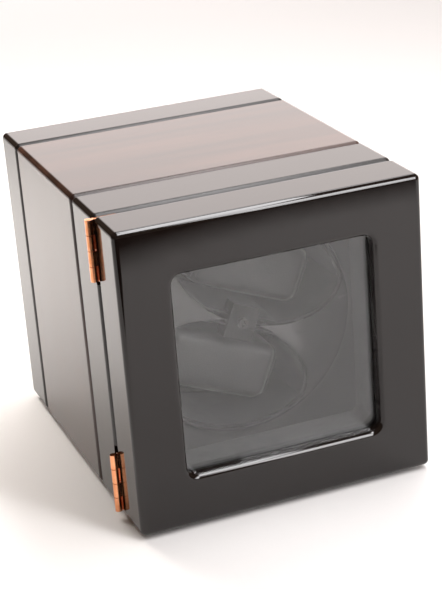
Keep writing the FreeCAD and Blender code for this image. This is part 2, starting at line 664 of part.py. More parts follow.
def gear_points(teeth, phase):
    """Corners of a stub-toothed involute spur gear with one tooth centred on the angle phase."""
    module = size("gear_module")
    pitch = module * teeth / 2
    base = pitch * math.cos(PRESSURE_ANGLE)
    root = pitch - 1.1 * module
    tip = pitch + 0.8 * module
    steps = 4
    low = max(base, root)
    radii = [low + (tip - low) * step / steps for step in range(steps + 1)]
    half = math.pi / (2 * teeth) - size("gear_backlash") / (2 * pitch)
    at_pitch = math.tan(PRESSURE_ANGLE) - PRESSURE_ANGLE
    flank = []
    for radius in radii:
        roll = math.acos(min(1.0, base / radius))
        flank.append((radius, half + at_pitch - math.tan(roll) + roll))
    if root < base:
        flank.insert(0, (root, flank[0][1]))
    points = []
    for tooth in range(teeth):
        middle = phase + 2 * math.pi * tooth / teeth
        sides = [(radius, middle - angle) for radius, angle in flank]
        sides += [(radius, middle + angle) for radius, angle in reversed(flank)]
        points += [FreeCAD.Vector(r * math.cos(a), r * math.sin(a), 0) for r, a in sides]
    return points + points[:1]


def gear_solid(name, teeth, phase, start, length):
    """A toothed wheel about the Z axis."""
    face = Part.Face(Part.makePolygon(gear_points(int(teeth), phase)))
    item = DOC.addObject("Part::Feature", name)
    item.Shape = face.extrude(FreeCAD.Vector(0, 0, length))
    item.Placement = FreeCAD.Placement(FreeCAD.Vector(0, 0, start), UPRIGHT)
    return item


def meshing_phase(teeth, phase, other_teeth, direction):
    """Phase of the other gear, which lies in this direction, so that its gap meets this gear's tooth."""
    return direction + math.pi + (math.pi - teeth * (phase - direction)) / other_teeth


def gear_centres():
    """Axes of the idler and the pinion, from the rotor's axis, in X and downwards."""
    module = size("gear_module")
    down = module * (size("drive_teeth") + size("idler_small_teeth")) / 2
    across = module * (size("idler_large_teeth") + size("pinion_teeth")) / 2
    return {"idler": (0, down), "pinion": (across, down)}


def laid_at(item, label, centre):
    """Lay a gear along Y with its axis at a gear centre, and keep it."""
    place(item, centre[0], 0, "%s - %g" % (AXIS_Z, centre[1]), ALONG_Y)
    return keep(item, label)


def make_gears():
    """Drive gear on the rotor's shaft, a two-step idler below it and the motor's pinion beside that."""
    centres = gear_centres()
    down, aside = math.pi / 2, 0.0
    drive_teeth, small_teeth = size("drive_teeth"), size("idler_small_teeth")
    large_teeth, pinion_teeth = size("idler_large_teeth"), size("pinion_teeth")
    small_phase = meshing_phase(drive_teeth, 0.0, small_teeth, down)
    pinion_phase = meshing_phase(large_teeth, 0.0, pinion_teeth, aside)
    front, width = size("drive_gear_front"), size("drive_gear_width")
    wheel = gear_solid("drive_wheel", drive_teeth, 0.0, front, width)
    hub = upright_rod("drive_hub", "2 * shaft_radius", BULKHEAD_BACK + " + 0.3", "drive_gear_front + 1")
    bore = upright_rod("drive_bore", "shaft_radius", "bulkhead_front", "gear_plate_front")
    turned_in(cut("drive_gear", fuse("drive_solid", wheel, hub), bore), "drive_gear", 0)
    small = gear_solid("idler_small", small_teeth, small_phase, size("idler_front"),
                       size("idler_small_width"))
    large = gear_solid("idler_large", large_teeth, 0.0, size("idler_front") + size("idler_small_width"),
                       size("idler_large_width"))
    idler_bore = upright_rod("idler_bore", "axle_bore", "bulkhead_front", "gear_plate_front")
    laid_at(cut("idler_gear", fuse("idler_solid", small, large), idler_bore), "idler_gear",
            centres["idler"])
    teeth = gear_solid("pinion_teeth_solid", pinion_teeth, pinion_phase, size("pinion_front"),
                       size("pinion_width"))
    stem = upright_rod("pinion_shaft", "motor_shaft", "pinion_front", GEAR_PLATE_BACK + " + 8")
    laid_at(fuse("motor_pinion", teeth, stem), "motor_pinion", centres["pinion"])
    axle_x, axle_down = centres["idler"]
    axle = rod("idler_axle", "axle_radius", "bulkhead_front + 1", GEAR_PLATE_BACK,
               axle_x, "%s - %g" % (AXIS_Z, axle_down))
    return keep(axle, "idler_axle")


def standoff_points():
    """Corners of the gear plate where the standoffs stand."""
    middle = size("foot_height") + size("case_height") / 2
    across = size("gear_plate_width") / 2 - size("standoff_inset")
    along = size("gear_plate_height") / 2 - size("standoff_inset")
    centre_x, centre_z = size("gear_plate_x"), middle + size("gear_plate_z")
    return [(centre_x + i * across, centre_z + j * along) for i in (-1, 1) for j in (-1, 1)]


def bush(label, radius, flange, start, flange_start, end):
    """A flanged plain bearing on the rotor's axis."""
    body = rod(label + "_body", radius, start, end, 0, AXIS_Z)
    lip = rod(label + "_lip", flange, flange_start, "%s + bush_lip" % flange_start, 0, AXIS_Z)
    bore = rod(label + "_bore", "shaft_bore", "%s - 1" % start, "%s + 1" % end, 0, AXIS_Z)
    return keep(cut(label, fuse(label + "_solid", body, lip), bore), label)


def make_gear_case(axle):
    """Bulkhead, gear plate, standoffs, bushes and the motor."""
    front_bush = bush("front_bush", "bush_radius", "bush_flange", "bulkhead_front - bush_lip",
                      "bulkhead_front - bush_lip", BULKHEAD_BACK)
    rear_bush = bush("rear_bush", "bush_radius - 1", "bush_flange - 1.5", "gear_plate_front",
                     GEAR_PLATE_BACK, "ring_front - 0.2")
    screw = screw_pattern("plate_screw", 2.8, 2.0, 1.5, 8, countersunk=False)
    plate_back = size("gear_plate_front") + size("gear_plate_thickness")
    places = spots([(x, plate_back, z) for x, z in standoff_points()], AGAINST_Y)
    screws = screw_set("gear_plate_screws", (screw, places))
    post = fuse("standoff_pattern",
                upright_rod("standoff_body", "standoff_radius", BULKHEAD_BACK, "gear_plate_front"),
                upright_rod("standoff_stud", "1.5", BULKHEAD_BACK + " - 4", BULKHEAD_BACK))
    rests = spots([(x, 0, z) for x, z in standoff_points()], ALONG_Y)
    posts = copies("standoff_blanks", (post, rests))
    posts = keep(cut("standoffs", posts, screws), "standoffs")
    board = slab("bulkhead_board", CHAMBER, CHAMBER, "bulkhead_front", BULKHEAD_BACK, 0, AXIS_Z)
    keep(cut("bulkhead", board, front_bush, rod("bulkhead_hole", "bush_radius", "bulkhead_front - 1",
             BULKHEAD_BACK + " + 1", 0, AXIS_Z), posts, axle), "bulkhead")
    motor_x, motor_down = gear_centres()["pinion"]
    motor_z = "%s - %g" % (AXIS_Z, motor_down)
    plate = slab("gear_plate_blank", "gear_plate_width", "gear_plate_height", "gear_plate_front",
                 GEAR_PLATE_BACK, "gear_plate_x", "%s + gear_plate_z" % AXIS_Z)
    motor_screws = make_motor(motor_x, motor_z)
    holes = [rod("plate_bush_hole", "bush_radius - 1", "gear_plate_front - 1", GEAR_PLATE_BACK + " + 1",
                 0, AXIS_Z),
             rod("plate_motor_hole", "motor_boss", "gear_plate_front - 1", GEAR_PLATE_BACK + " + 1",
                 motor_x, motor_z)]
    keep(cut("gear_plate", plate, rear_bush, screws, axle, motor_screws, *holes), "gear_plate")


def make_motor(x, z):
    """A flat-faced gear motor behind the gear plate, held by two screws through it."""
    screw = screw_pattern("motor_screw", 2.2, 1.6, 1.25, 7, countersunk=False)
    spread = size("motor_screw_spread") / 2
    middle = size("foot_height") + size("case_height") / 2 - gear_centres()["pinion"][1]
    places = spots([(x + side * spread, size("gear_plate_front"), middle) for side in (-1, 1)], ALONG_Y)
    screws = screw_set("motor_screws", (screw, places))
    can_end = "%s + motor_length" % GEAR_PLATE_BACK
    solid = fuse("motor_solid",
                 rod("motor_can", "motor_radius", GEAR_PLATE_BACK, can_end, x, z),
                 rod("motor_nose", "motor_boss", "gear_plate_front", GEAR_PLATE_BACK, x, z),
                 rod("motor_bell", "motor_radius - 2", can_end, can_end + " + 4", x, z),
                 slab("motor_tag_left", "0.8", "3", can_end + " + 4", can_end + " + 9", x - 6, z),
                 slab("motor_tag_right", "0.8", "3", can_end + " + 4", can_end + " + 9", x + 6, z))
    bore = rod("motor_shaft_bore", "motor_bore", "gear_plate_front - 1", GEAR_PLATE_BACK + " + 8.2", x, z)
    keep(cut("motor", solid, screws, bore), "motor")
    return screws


# ---------------------------------------------------------------- back and controls


def corner_points(inset):
    """Points near the four inner corners of the case."""
    middle = size("foot_height") + size("case_height") / 2
    away = (size("ring_opening") - 2 * size("liner_wall")) / 2 - inset
    return [(i * away, middle + j * away) for i in (-1, 1) for j in (-1, 1)]


def make_back_panel():
    """The recessed back panel, screwed to blocks in the corners of the liner."""
    screw = screw_pattern("panel_screw", 3.2, 1.8, 1.6, 16)
    back = size("panel_front") + size("panel_thickness")
    inset = size("block_size") / 2
    places = spots([(x, back, z) for x, z in corner_points(inset)], AGAINST_Y)
    screws = screw_set("back_panel_screws", (screw, places))
    block = DOC.addObject("Part::Box", "block_pattern")
    bind(block, Length="block_size", Width="block_length", Height="block_size")
    points = [(x - inset, size("panel_front") - size("block_length"), z - inset)
              for x, z in corner_points(inset)]
    blocks = copies("block_blanks", (block, spots(points)))
    keep(cut("corner_blocks", blocks, screws), "corner_blocks")
    board = slab("panel_board", "ring_opening", "ring_opening", "panel_front", PANEL_BACK, 0, AXIS_Z)
    hole = slab("panel_cutout", "cutout_width", "cutout_height", "panel_front - 1", PANEL_BACK + " + 1",
                0, CONTROL_LINE)
    plate_screws = make_control_plate()
    keep(cut("back_panel", board, hole, screws, plate_screws), "back_panel")


def make_control_plate():
    """The plate that carries the power inlet, the switches and the turns knob."""
    screw = screw_pattern("control_screw", 2.4, 1.3, 1.2, 6)
    back = size("panel_front") + size("panel_thickness") + size("control_thickness")
    middle = size("foot_height") + size("case_height") / 2 + size("control_z")
    aside = (size("cutout_width") + size("control_width")) / 4
    places = spots([(side * aside, back, middle) for side in (-1, 1)], AGAINST_Y)
    screws = screw_set("control_plate_screws", (screw, places))
    plate = slab("control_blank", "control_width", "control_height", PANEL_BACK, CONTROL_BACK,
                 0, CONTROL_LINE)
    before, behind = PANEL_BACK + " - 1", CONTROL_BACK + " + 1"
    holes = [rod("jack_hole", "jack_radius", before, behind, "jack_x", CONTROL_LINE),
             slab("rocker_hole", "bezel_width", "bezel_height", before, behind, "rocker_x", CONTROL_LINE),
             rod("knob_hole", "rotary_neck", before, behind, "knob_x", CONTROL_LINE),
             slab("slider_slot", SLOT_WIDTH, "slot_height", before, behind, "slider_x", CONTROL_LINE)]
    keep(cut("control_plate", plate, screws, *holes), "control_plate")
    return screws


def make_jack():
    """A round inlet for a 5.5 mm low-voltage plug with a 2.1 mm centre pin, and its nut."""
    line = ("jack_x", CONTROL_LINE)
    face = CONTROL_BACK + " + jack_proud"
    barrel = rod("jack_barrel", "jack_radius", BOARD_BACK, face, *line)
    flange = rod("jack_flange", "jack_flange", CONTROL_BACK, CONTROL_BACK + " + jack_proud / 2", *line)
    mouth = rod("jack_mouth", "jack_bore", PANEL_BACK + " - 6", face + " + 1", *line)
    pin = rod("jack_pin", "jack_pin", PANEL_BACK + " - 7", face + " - 1", *line)
    body = cut("jack_body", fuse("jack_solid", barrel, flange), mouth)
    keep(fuse("dc_jack", body, pin), "dc_jack")
    nut = DOC.addObject("Part::Prism", "jack_nut_prism")
    nut.Polygon = 6
    bind(nut, Circumradius="jack_nut", Height="jack_nut_height")
    nut_front = PANEL_BACK + " - jack_nut_height"
    place(nut, "jack_x", nut_front, CONTROL_LINE, ALONG_Y)
    hole = rod("jack_nut_hole", "jack_radius", nut_front + " - 1", PANEL_BACK + " + 1", *line)
    keep(cut("dc_jack_nut", nut, hole), "dc_jack_nut")


def make_rocker():
    """A power rocker on two stub pins in its bezel, resting tilted to off."""
    pivot = CONTROL_BACK + " - pivot_depth"
    line = ("rocker_x", CONTROL_LINE)
    solid = fuse("bezel_solid",
                 slab("bezel_body", "bezel_width", "bezel_height", BOARD_BACK, CONTROL_BACK, *line),
                 slab("bezel_flange", "rim_width", "rim_height", CONTROL_BACK,
                      CONTROL_BACK + " + rim_thickness", *line))
    room = slab("bezel_room", "bezel_room_width", "bezel_room_height", PANEL_BACK + " - 6",
                CONTROL_BACK + " + rim_thickness + 1", *line)
    hole = bind(DOC.addObject("Part::Cylinder", "bezel_pivot"), Radius="bezel_bore",
                Height="bezel_bore_length")
    place(hole, "rocker_x - bezel_bore_length / 2", pivot, CONTROL_LINE, ALONG_X)
    keep(cut("rocker_bezel", solid, room, hole), "rocker_bezel")
    block = bind(DOC.addObject("Part::Box", "rocker_block"), Length="rocker_width",
                 Width="rocker_depth", Height="rocker_height")
    place(block, "-rocker_width / 2", "-rocker_below", "-rocker_height / 2")
    dish = bind(DOC.addObject("Part::Cylinder", "rocker_dish"), Radius="dish_radius", Height="dish_width")
    place(dish, "-dish_width / 2", "dish_centre", 0, ALONG_X)
    pin = bind(DOC.addObject("Part::Cylinder", "rocker_pin"), Radius="rocker_pin",
               Height="rocker_pin_length")
    place(pin, "-rocker_pin_length / 2", 0, 0, ALONG_X)
    rocker = fuse("power_rocker", cut("rocker_cap", block, dish), pin)
    place(rocker, "rocker_x", pivot, CONTROL_LINE, FreeCAD.Rotation(FreeCAD.Vector(1, 0, 0),
                                                                  -size("rocker_tilt")))
    keep(rocker, "power_rocker")


def make_turns_knob():
    """A rotary switch with a fluted knob for the number of turns a day."""
    line = ("knob_x", CONTROL_LINE)
    body = fuse("rotary_solid",
                rod("rotary_body", "rotary_radius", BOARD_BACK, PANEL_BACK, *line),
                rod("rotary_neck", "rotary_neck", PANEL_BACK, CONTROL_BACK + " + knob_base - 0.3", *line))
    bore = rod("rotary_bore", "rotary_bore", PANEL_BACK + " - 6", CONTROL_BACK + " + knob_base + 1", *line)
    keep(cut("rotary_switch", body, bore), "rotary_switch")
    skirt = upright_rod("knob_skirt", "knob_skirt", "knob_base", "skirt_top")
    grip = upright_rod("knob_grip", "knob_grip", "skirt_top", "knob_top")
    stem = upright_rod("knob_stem", "knob_stem", "-6", "knob_base + 0.3")
    flutes = []
    count = int(size("flutes"))
    circle = size("flute_circle")
    for number in range(count):
        angle = 2 * math.pi * (number + 0.5) / count
        flutes.append(upright_rod("knob_flute%d" % number, "flute_radius", "skirt_top", "knob_top + 1",
                                  circle * math.cos(angle), circle * math.sin(angle)))
    pointer = upright_box("knob_pointer", "pointer_width", "pointer_length", "knob_top - pointer_depth",
                          "knob_top + 1", "-pointer_offset")
    knob = cut("turns_knob", fuse("knob_solid", skirt, grip, stem), pointer, *flutes)
    place(knob, "knob_x", CONTROL_BACK, CONTROL_LINE, ALONG_Y)
    keep(knob, "turns_knob")


def make_direction_switch():
    """A three-position slide switch for the turning direction, resting at both ways."""
    line = ("slider_x", CONTROL_LINE)
    body = slab("slide_body", "slide_body_width", "slide_body_height", BOARD_BACK, PANEL_BACK, *line)
    room = slab("slide_room", SLOT_WIDTH, "slot_height", PANEL_BACK + " - 5", PANEL_BACK + " + 1", *line)
    keep(cut("slide_switch_body", body, room), "slide_switch_body")
    tab = slab("slider_tab", "slider_width", "slider_height", PANEL_BACK + " - 4.5",
               CONTROL_BACK + " + slider_proud", *line)
    grooves = []
    for offset in (-1, 0, 1):
        grooves.append(slab("slider_groove%d" % (offset + 1), "thumb_groove", "slider_height + 1.4",
                            CONTROL_BACK + " + slider_proud - thumb_groove_depth",
                            CONTROL_BACK + " + slider_proud + 1",
                            "slider_x + %d * thumb_groove_pitch" % offset, CONTROL_LINE))
    keep(cut("direction_slider", tab, *grooves), "direction_slider")


def make_board():
    """The control board, held by the switches and the inlet that are soldered to it."""
    board = slab("circuit_board", "board_width", "board_height", "board_front", BOARD_BACK,
                 0, CONTROL_LINE)
    keep(board, "circuit_board")


# ---------------------------------------------------------------- assembly and files


def build():
    case_screws, door_screws = make_hinges()
    magnets, strikes = make_catches()
    make_front_band(case_screws, magnets)
    make_rings()
    make_liner()
    make_feet()
    make_surround()
    make_door(door_screws, strikes)
    make_glass()
    make_rotor_face()
    make_rotor_drum()
    rotor_screws = make_rotor_back()
    hub_room = make_hub(rotor_screws)
    make_cup("upper_cup", -1, hub_room, rotor_screws)
    make_cup("lower_cup", 1, hub_room, rotor_screws)
    make_cushion("upper_cushion", 1)
    make_cushion("lower_cushion", -1)
    axle = make_gears()
    make_gear_case(axle)
    make_back_panel()
    make_jack()
    make_rocker()
    make_turns_knob()
    make_direction_switch()
    make_board()


def check_document():
    """Stop if any feature failed or any sub-part has no valid solid."""
    DOC.recompute()
    failed = [item.Name for item in DOC.Objects if {"Invalid", "Error"} & set(item.State)]
    for item in SUB_PARTS:
        if item.Shape.isNull() or not item.Shape.isValid() or not item.Shape.Solids:
            failed.append(item.Label)
    if failed:
        raise RuntimeError("failed: " + ", ".join(failed))


def export():
    os.makedirs("parts", exist_ok=True)
    for item in SUB_PARTS:
        item.Shape.exportStep(os.path.join("parts", item.Label + ".step"))
        solids = len(item.Shape.Solids)
        print("%-24s %2d solid(s) %10.1f mm3" % (item.Label, solids, item.Shape.Volume))


build()
check_document()
export()
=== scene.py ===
"""Looks of a lacquered watch winder box: studio, finishes, sewn cushions and printed dial marks."""

import math

import bmesh
import bpy
from mathutils import Matrix, Vector
from mathutils.bvhtree import BVHTree


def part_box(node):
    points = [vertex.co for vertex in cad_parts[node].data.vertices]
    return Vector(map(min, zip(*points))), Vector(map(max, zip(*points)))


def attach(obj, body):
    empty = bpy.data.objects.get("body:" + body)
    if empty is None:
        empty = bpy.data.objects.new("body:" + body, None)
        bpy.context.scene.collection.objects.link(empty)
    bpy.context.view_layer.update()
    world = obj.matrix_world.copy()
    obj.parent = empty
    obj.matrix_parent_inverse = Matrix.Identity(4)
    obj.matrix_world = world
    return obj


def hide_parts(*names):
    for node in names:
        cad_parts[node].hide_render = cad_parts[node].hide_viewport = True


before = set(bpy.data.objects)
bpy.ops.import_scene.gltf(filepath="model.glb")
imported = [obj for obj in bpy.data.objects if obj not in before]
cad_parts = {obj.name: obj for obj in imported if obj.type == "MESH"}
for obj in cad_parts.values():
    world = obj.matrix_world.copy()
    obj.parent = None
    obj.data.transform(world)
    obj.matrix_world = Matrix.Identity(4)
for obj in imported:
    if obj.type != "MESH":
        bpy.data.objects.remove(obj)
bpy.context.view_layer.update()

MM = 0.001

# Camera, in metres and degrees
CAMERA_PLACE = Vector((-0.35018, -0.99422, 0.51164))
CAMERA_YAW = 19.841
CAMERA_PITCH = 21.511
CAMERA_ROLL = -4.493
LENS_MM = 107.381
SENSOR_MM = 36.0

# The rotor is parked with its upper cushion leaning to the right, in degrees
ROTOR_LEAN = 23.0

# Middles of the grooves between the door and the rings, and the reach of their rims
GROOVE_MIDDLES = (-81.7 * MM, -40.0 * MM, 82.1 * MM)
GROOVE_RIM = 4.3 * MM
RIM_FADE = 0.6 * MM
RIM_ROUGHNESS = 0.34

# Brightness of the studio as seen directly, of its dim parts and of its low backdrop
STUDIO_WHITE = (0.975, 0.972, 0.97, 1)
STUDIO_DIM = (0.15, 0.105, 0.075, 1)
BACKDROP_BRIGHT = (2.42, 2.21, 2.14, 1)
FLOOR_REACH = 14
FLAG_HEIGHT = 1 * MM

# Cushions. The foam and the skin are set back from the full size, here in millimetres.
CUSHION_WIDTH = 84 * MM
CUSHION_HEIGHT = 42 * MM
CUSHION_DEPTH = 47 * MM
FOAM_SETBACK = 2.2
SKIN_SETBACK = 0.5
FOAM_CORNER = 7.0 * MM
SKIN_CORNER = 6.0 * MM
BLANK_CUTS = 15
VOXEL_SIZE = 2.6 * MM
SWELL_STEPS = 20
SWELL_LIMIT = 6 * MM

# Shares by which the cloth is drawn in at its seams, towards its ends and over its end caps
PINCH_SHARE = 0.035
CROWN_SHARE = 0.045
END_SHARE = 0.03

# Seams. A ray is sent in from this many millimetres away to find the skin.
END_SEAM_INSET = 5.5 * MM
SEAM_BREADTH = 1.3 * MM
SEAM_STEPS = 96
RAY_START = 60
PIPING_RADIUS = 0.55 * MM
PIPING_LIFT = 0.1 * MM
STITCH_INSET = 2.6 * MM
STITCH_RADIUS = 0.22 * MM
STITCH_LIFT = 0.12 * MM
STITCH_STRETCH = 1.25
STITCH_SIDES = 6
PIPING_SIDES = 8

# Printed marks. The middle of an arrow's arm is this many millimetres from its tip.
ARM_MIDDLE = 1.3
INK_THICKNESS = 0.05 * MM
KNOB_TICKS = 10
KNOB_SWEEP = 270
KNOB_SCALE_RADIUS = 9.4 * MM
LONG_TICK = 2.6 * MM
SHORT_TICK = 1.6 * MM
TICK_WIDTH = 0.45 * MM
ARROW_REACH = 11.0 * MM
ARROW_SLOPE = 0.8
ARROW_ARM = 2.8 * MM
ARROW_WIDTH = 0.5 * MM
MIDDLE_BAR_DROP = -8.0 * MM
MIDDLE_BAR_LENGTH = 3.2 * MM


# ---------------------------------------------------------------- studio


def set_camera():
    """The camera stands in front, to the left and above, and leans a little."""
    yaw, pitch, roll = (math.radians(a) for a in (CAMERA_YAW, CAMERA_PITCH, CAMERA_ROLL))
    ahead = Vector((math.sin(yaw) * math.cos(pitch), math.cos(yaw) * math.cos(pitch), -math.sin(pitch)))
    level_right = Vector((math.cos(yaw), -math.sin(yaw), 0))
    level_up = level_right.cross(ahead)
    right = math.cos(roll) * level_right + math.sin(roll) * level_up
    up = math.cos(roll) * level_up - math.sin(roll) * level_right
    data = bpy.data.cameras.new("camera")
    data.lens = LENS_MM
    data.sensor_width = SENSOR_MM
    camera = bpy.data.objects.new("camera", data)
    bpy.context.scene.collection.objects.link(camera)
    turn = Matrix((right, up, -ahead)).transposed()
    camera.matrix_world = Matrix.Translation(CAMERA_PLACE) @ turn.to_4x4()
    bpy.context.scene.camera = camera


def softbox(name, place, aim, size, brightness, colour=(1, 1, 1), mirrored=True):
    """A rectangular studio lamp at place, pointed at aim. Brightness is that of its face."""
    data = bpy.data.lights.new(name, "AREA")
    data.shape = "RECTANGLE"
    data.size, data.size_y = size
    data.energy = brightness * math.pi * size[0] * size[1]
    data.color = colour
    lamp = bpy.data.objects.new(name, data)
    lamp.location = place
    lamp.rotation_euler = (Vector(aim) - Vector(place)).to_track_quat("-Z", "Y").to_euler()
    lamp.visible_camera = False
    lamp.visible_glossy = mirrored
    bpy.context.scene.collection.objects.link(lamp)


def set_lamps():
    """Softboxes overhead and at the front right, and lamps for the backdrop and the floor."""
    cool = (1.0, 0.985, 1.0)
    warm = (1.0, 0.94, 0.89)
    softbox("overhead_softbox", (0.31, -0.27, 1.20), (0.31, -0.27, 0), (0.24, 1.15), 14.5, cool)
    softbox("overhead_rear_softbox", (0.46, 0.75, 1.10), (0.1, 0, 0.1), (0.5, 0.5), 4, cool)
    softbox("middle_softbox", (0.53, -0.98, 1.06), (0.02, -0.12, 0.19), (0.34, 0.46), 11, cool)
    softbox("side_softbox", (0.76, -1.65, 0.85), (0, -0.1, 0.15), (0.42, 0.95), 11, cool)
    softbox("backdrop_lamp", (0.10, 1.95, 1.20), (0.10, 1.80, 0), (1.8, 0.8), 4.2, cool, mirrored=False)
    softbox("floor_lamp", (-0.22, 0.46, 0.44), (-0.205, 0.40, 0), (0.26, 0.5), 9.5, warm, mirrored=False)
    softbox("front_fill", (0.00, -1.00, 1.60), (0.05, -0.55, 0), (1.0, 0.8), 1.75, cool, mirrored=False)


def set_surroundings():
    """Seen directly the studio is white. In the lacquer it is bright low down behind and dim elsewhere."""
    world = bpy.data.worlds.new("studio")
    bpy.context.scene.world = world
    world.use_nodes = True
    nodes, links = world.node_tree.nodes, world.node_tree.links
    nodes.clear()
    out = nodes.new("ShaderNodeOutputWorld")
    seen = nodes.new("ShaderNodeBackground")
    seen.inputs["Color"].default_value = STUDIO_WHITE
    around = nodes.new("ShaderNodeBackground")
    direction = nodes.new("ShaderNodeTexCoord")
    parts = nodes.new("ShaderNodeSeparateXYZ")
    links.new(direction.outputs["Generated"], parts.inputs[0])

    def fade(axis, dark_at, bright_at):
        """A smooth step along one part of the direction."""
        step = nodes.new("ShaderNodeMapRange")
        step.interpolation_type = "SMOOTHSTEP"
        step.inputs["From Min"].default_value = dark_at
        step.inputs["From Max"].default_value = bright_at
        links.new(parts.outputs[axis], step.inputs["Value"])
        return step.outputs["Result"]

    def times(a, b):
        """Two masks multiplied."""
        product = nodes.new("ShaderNodeMath")
        product.operation = "MULTIPLY"
        links.new(a, product.inputs[0])
        links.new(b, product.inputs[1])
        return product.outputs[0]

    backdrop = times(times(fade("X", 0.02, 0.24), fade("Y", 0.1, 0.5)), fade("Z", 0.52, 0.42))
    colour = nodes.new("ShaderNodeMix")
    colour.data_type = "RGBA"
    colour.inputs["A"].default_value = STUDIO_DIM
    colour.inputs["B"].default_value = BACKDROP_BRIGHT
    links.new(backdrop, colour.inputs["Factor"])
    links.new(colour.outputs["Result"], around.inputs["Color"])
    path = nodes.new("ShaderNodeLightPath")
    either = nodes.new("ShaderNodeMixShader")
    links.new(path.outputs["Is Camera Ray"], either.inputs["Fac"])
    links.new(around.outputs[0], either.inputs[1])
    links.new(seen.outputs[0], either.inputs[2])
    links.new(either.outputs[0], out.inputs["Surface"])


def flat_sheet(name, low, high, height):
    """A level rectangular sheet between two corners."""
    mesh = bpy.data.meshes.new(name)
    corners = [(low[0], low[1]), (high[0], low[1]), (high[0], high[1]), (low[0], high[1])]
    mesh.from_pydata([(x, y, height) for x, y in corners], [], [(0, 1, 2, 3)])
    sheet = bpy.data.objects.new(name, mesh)
    bpy.context.scene.collection.objects.link(sheet)
    return sheet


def set_floor():
    """The pale paper floor, and a dark flag on it that only the lacquer mirrors."""
    floor = flat_sheet("floor", (-FLOOR_REACH, -FLOOR_REACH), (FLOOR_REACH, FLOOR_REACH), 0)
    floor.data.materials.append(paper_finish())
    flag = flat_sheet("floor_flag", (-1.6, -2.2), (1.6, -0.3), FLAG_HEIGHT)
    flag.data.materials.append(flag_finish())
    flag.visible_camera = False
    flag.visible_diffuse = False
    flag.visible_shadow = False
    flag.visible_transmission = False


# ---------------------------------------------------------------- shared effects


class Recipe:
    """A short way to add and join shader nodes in one tree."""

    def __init__(self, tree):
        self.tree = tree

    def add(self, kind, **settings):
        """Adds a node and sets its options."""
        node = self.tree.nodes.new(kind)
        for option, value in settings.items():
            setattr(node, option, value)
        return node

    def feed(self, target, value):
        """Joins an output to an input, or sets the input's own value."""
        if isinstance(value, bpy.types.NodeSocket):
            self.tree.links.new(value, target)
        else:
            target.default_value = value

    def math(self, operation, a, b=0.0, clamp=False):
        """One sum on two values."""
        node = self.add("ShaderNodeMath", operation=operation, use_clamp=clamp)
        self.feed(node.inputs[0], a)
        self.feed(node.inputs[1], b)
        return node.outputs[0]

    def span(self, value, low, high, to_low=0.0, to_high=1.0):
        """Takes the stretch from low to high onto another stretch, and stops at its ends."""
        node = self.add("ShaderNodeMapRange")
        inputs = (value, low, high, to_low, to_high)
        for target, given in zip(node.inputs, inputs):
            self.feed(target, given)
        return node.outputs["Result"]

    def blend(self, share, a, b):
        """A colour between two colours."""
        node = self.add("ShaderNodeMix", data_type="RGBA")
        self.feed(node.inputs["Factor"], share)
        self.feed(node.inputs["A"], a)
        self.feed(node.inputs["B"], b)
        return node.outputs["Result"]

    def place(self, stretch=(1, 1, 1)):
        """Places on the object in metres, squeezed by stretch."""
        where = self.add("ShaderNodeTexCoord")
        scaled = self.add("ShaderNodeMapping")
        self.tree.links.new(where.outputs["Object"], scaled.inputs["Vector"])
        scaled.inputs["Scale"].default_value = stretch
        return scaled.outputs["Vector"]

    def clouds(self, place, scale, detail=2.0, roughness=0.5, distortion=0.0):
        """Soft random patches, from 0 to 1, so many to the metre."""
        node = self.add("ShaderNodeTexNoise")
        self.feed(node.inputs["Vector"], place)
        self.feed(node.inputs["Scale"], scale)
        node.inputs["Detail"].default_value = detail
        node.inputs["Roughness"].default_value = roughness
        node.inputs["Distortion"].default_value = distortion
        return node.outputs["Fac"]

    def cells(self, place, scale, feature="F1"):
        """Distance to the nearest of many scattered points."""
        node = self.add("ShaderNodeTexVoronoi", feature=feature)
        self.feed(node.inputs["Vector"], place)
        self.feed(node.inputs["Scale"], scale)
        return node.outputs["Distance"]

    def bump(self, height, depth, strength=1.0):
        """A normal for a relief of the given depth in metres."""
        node = self.add("ShaderNodeBump")
        node.inputs["Strength"].default_value = strength
        node.inputs["Distance"].default_value = depth
        self.feed(node.inputs["Height"], height)
        return node.outputs["Normal"]


def new_effect(name, inputs, outputs):
    """An empty shader group. Inputs are names with values, outputs are names."""
    tree = bpy.data.node_groups.new(name, "ShaderNodeTree")
    for label, value in inputs.items():
        kind = "NodeSocketVector" if isinstance(value, tuple) else "NodeSocketFloat"
        socket = tree.interface.new_socket(label, in_out="INPUT", socket_type=kind)
        socket.default_value = value
    for label in outputs:
        tree.interface.new_socket(label, in_out="OUTPUT", socket_type="NodeSocketFloat")
    recipe = Recipe(tree)
    given = recipe.add("NodeGroupInput").outputs
    result = recipe.add("NodeGroupOutput").inputs
    return tree, recipe, given, result


def handling_effect():
    """Smudges left by hands and a fine settling of dust, as two masks."""
    tree, recipe, given, result = new_effect(
        "handling", {"Place": (0, 0, 0), "Patch size": 30.0, "Dust size": 1500.0}, ["Smudge", "Dust"])
    patches = recipe.clouds(given["Place"], given["Patch size"], detail=4, roughness=0.6, distortion=1.2)
    recipe.feed(result["Smudge"], recipe.span(patches, 0.46, 0.72))
    flecks = recipe.cells(given["Place"], given["Dust size"])
    sparse = recipe.clouds(given["Place"], 160.0)
    near = recipe.span(flecks, 0.0, 0.16, 1.0, 0.0)
    recipe.feed(result["Dust"], recipe.math("MULTIPLY", near, recipe.span(sparse, 0.55, 0.7)))
    return tree


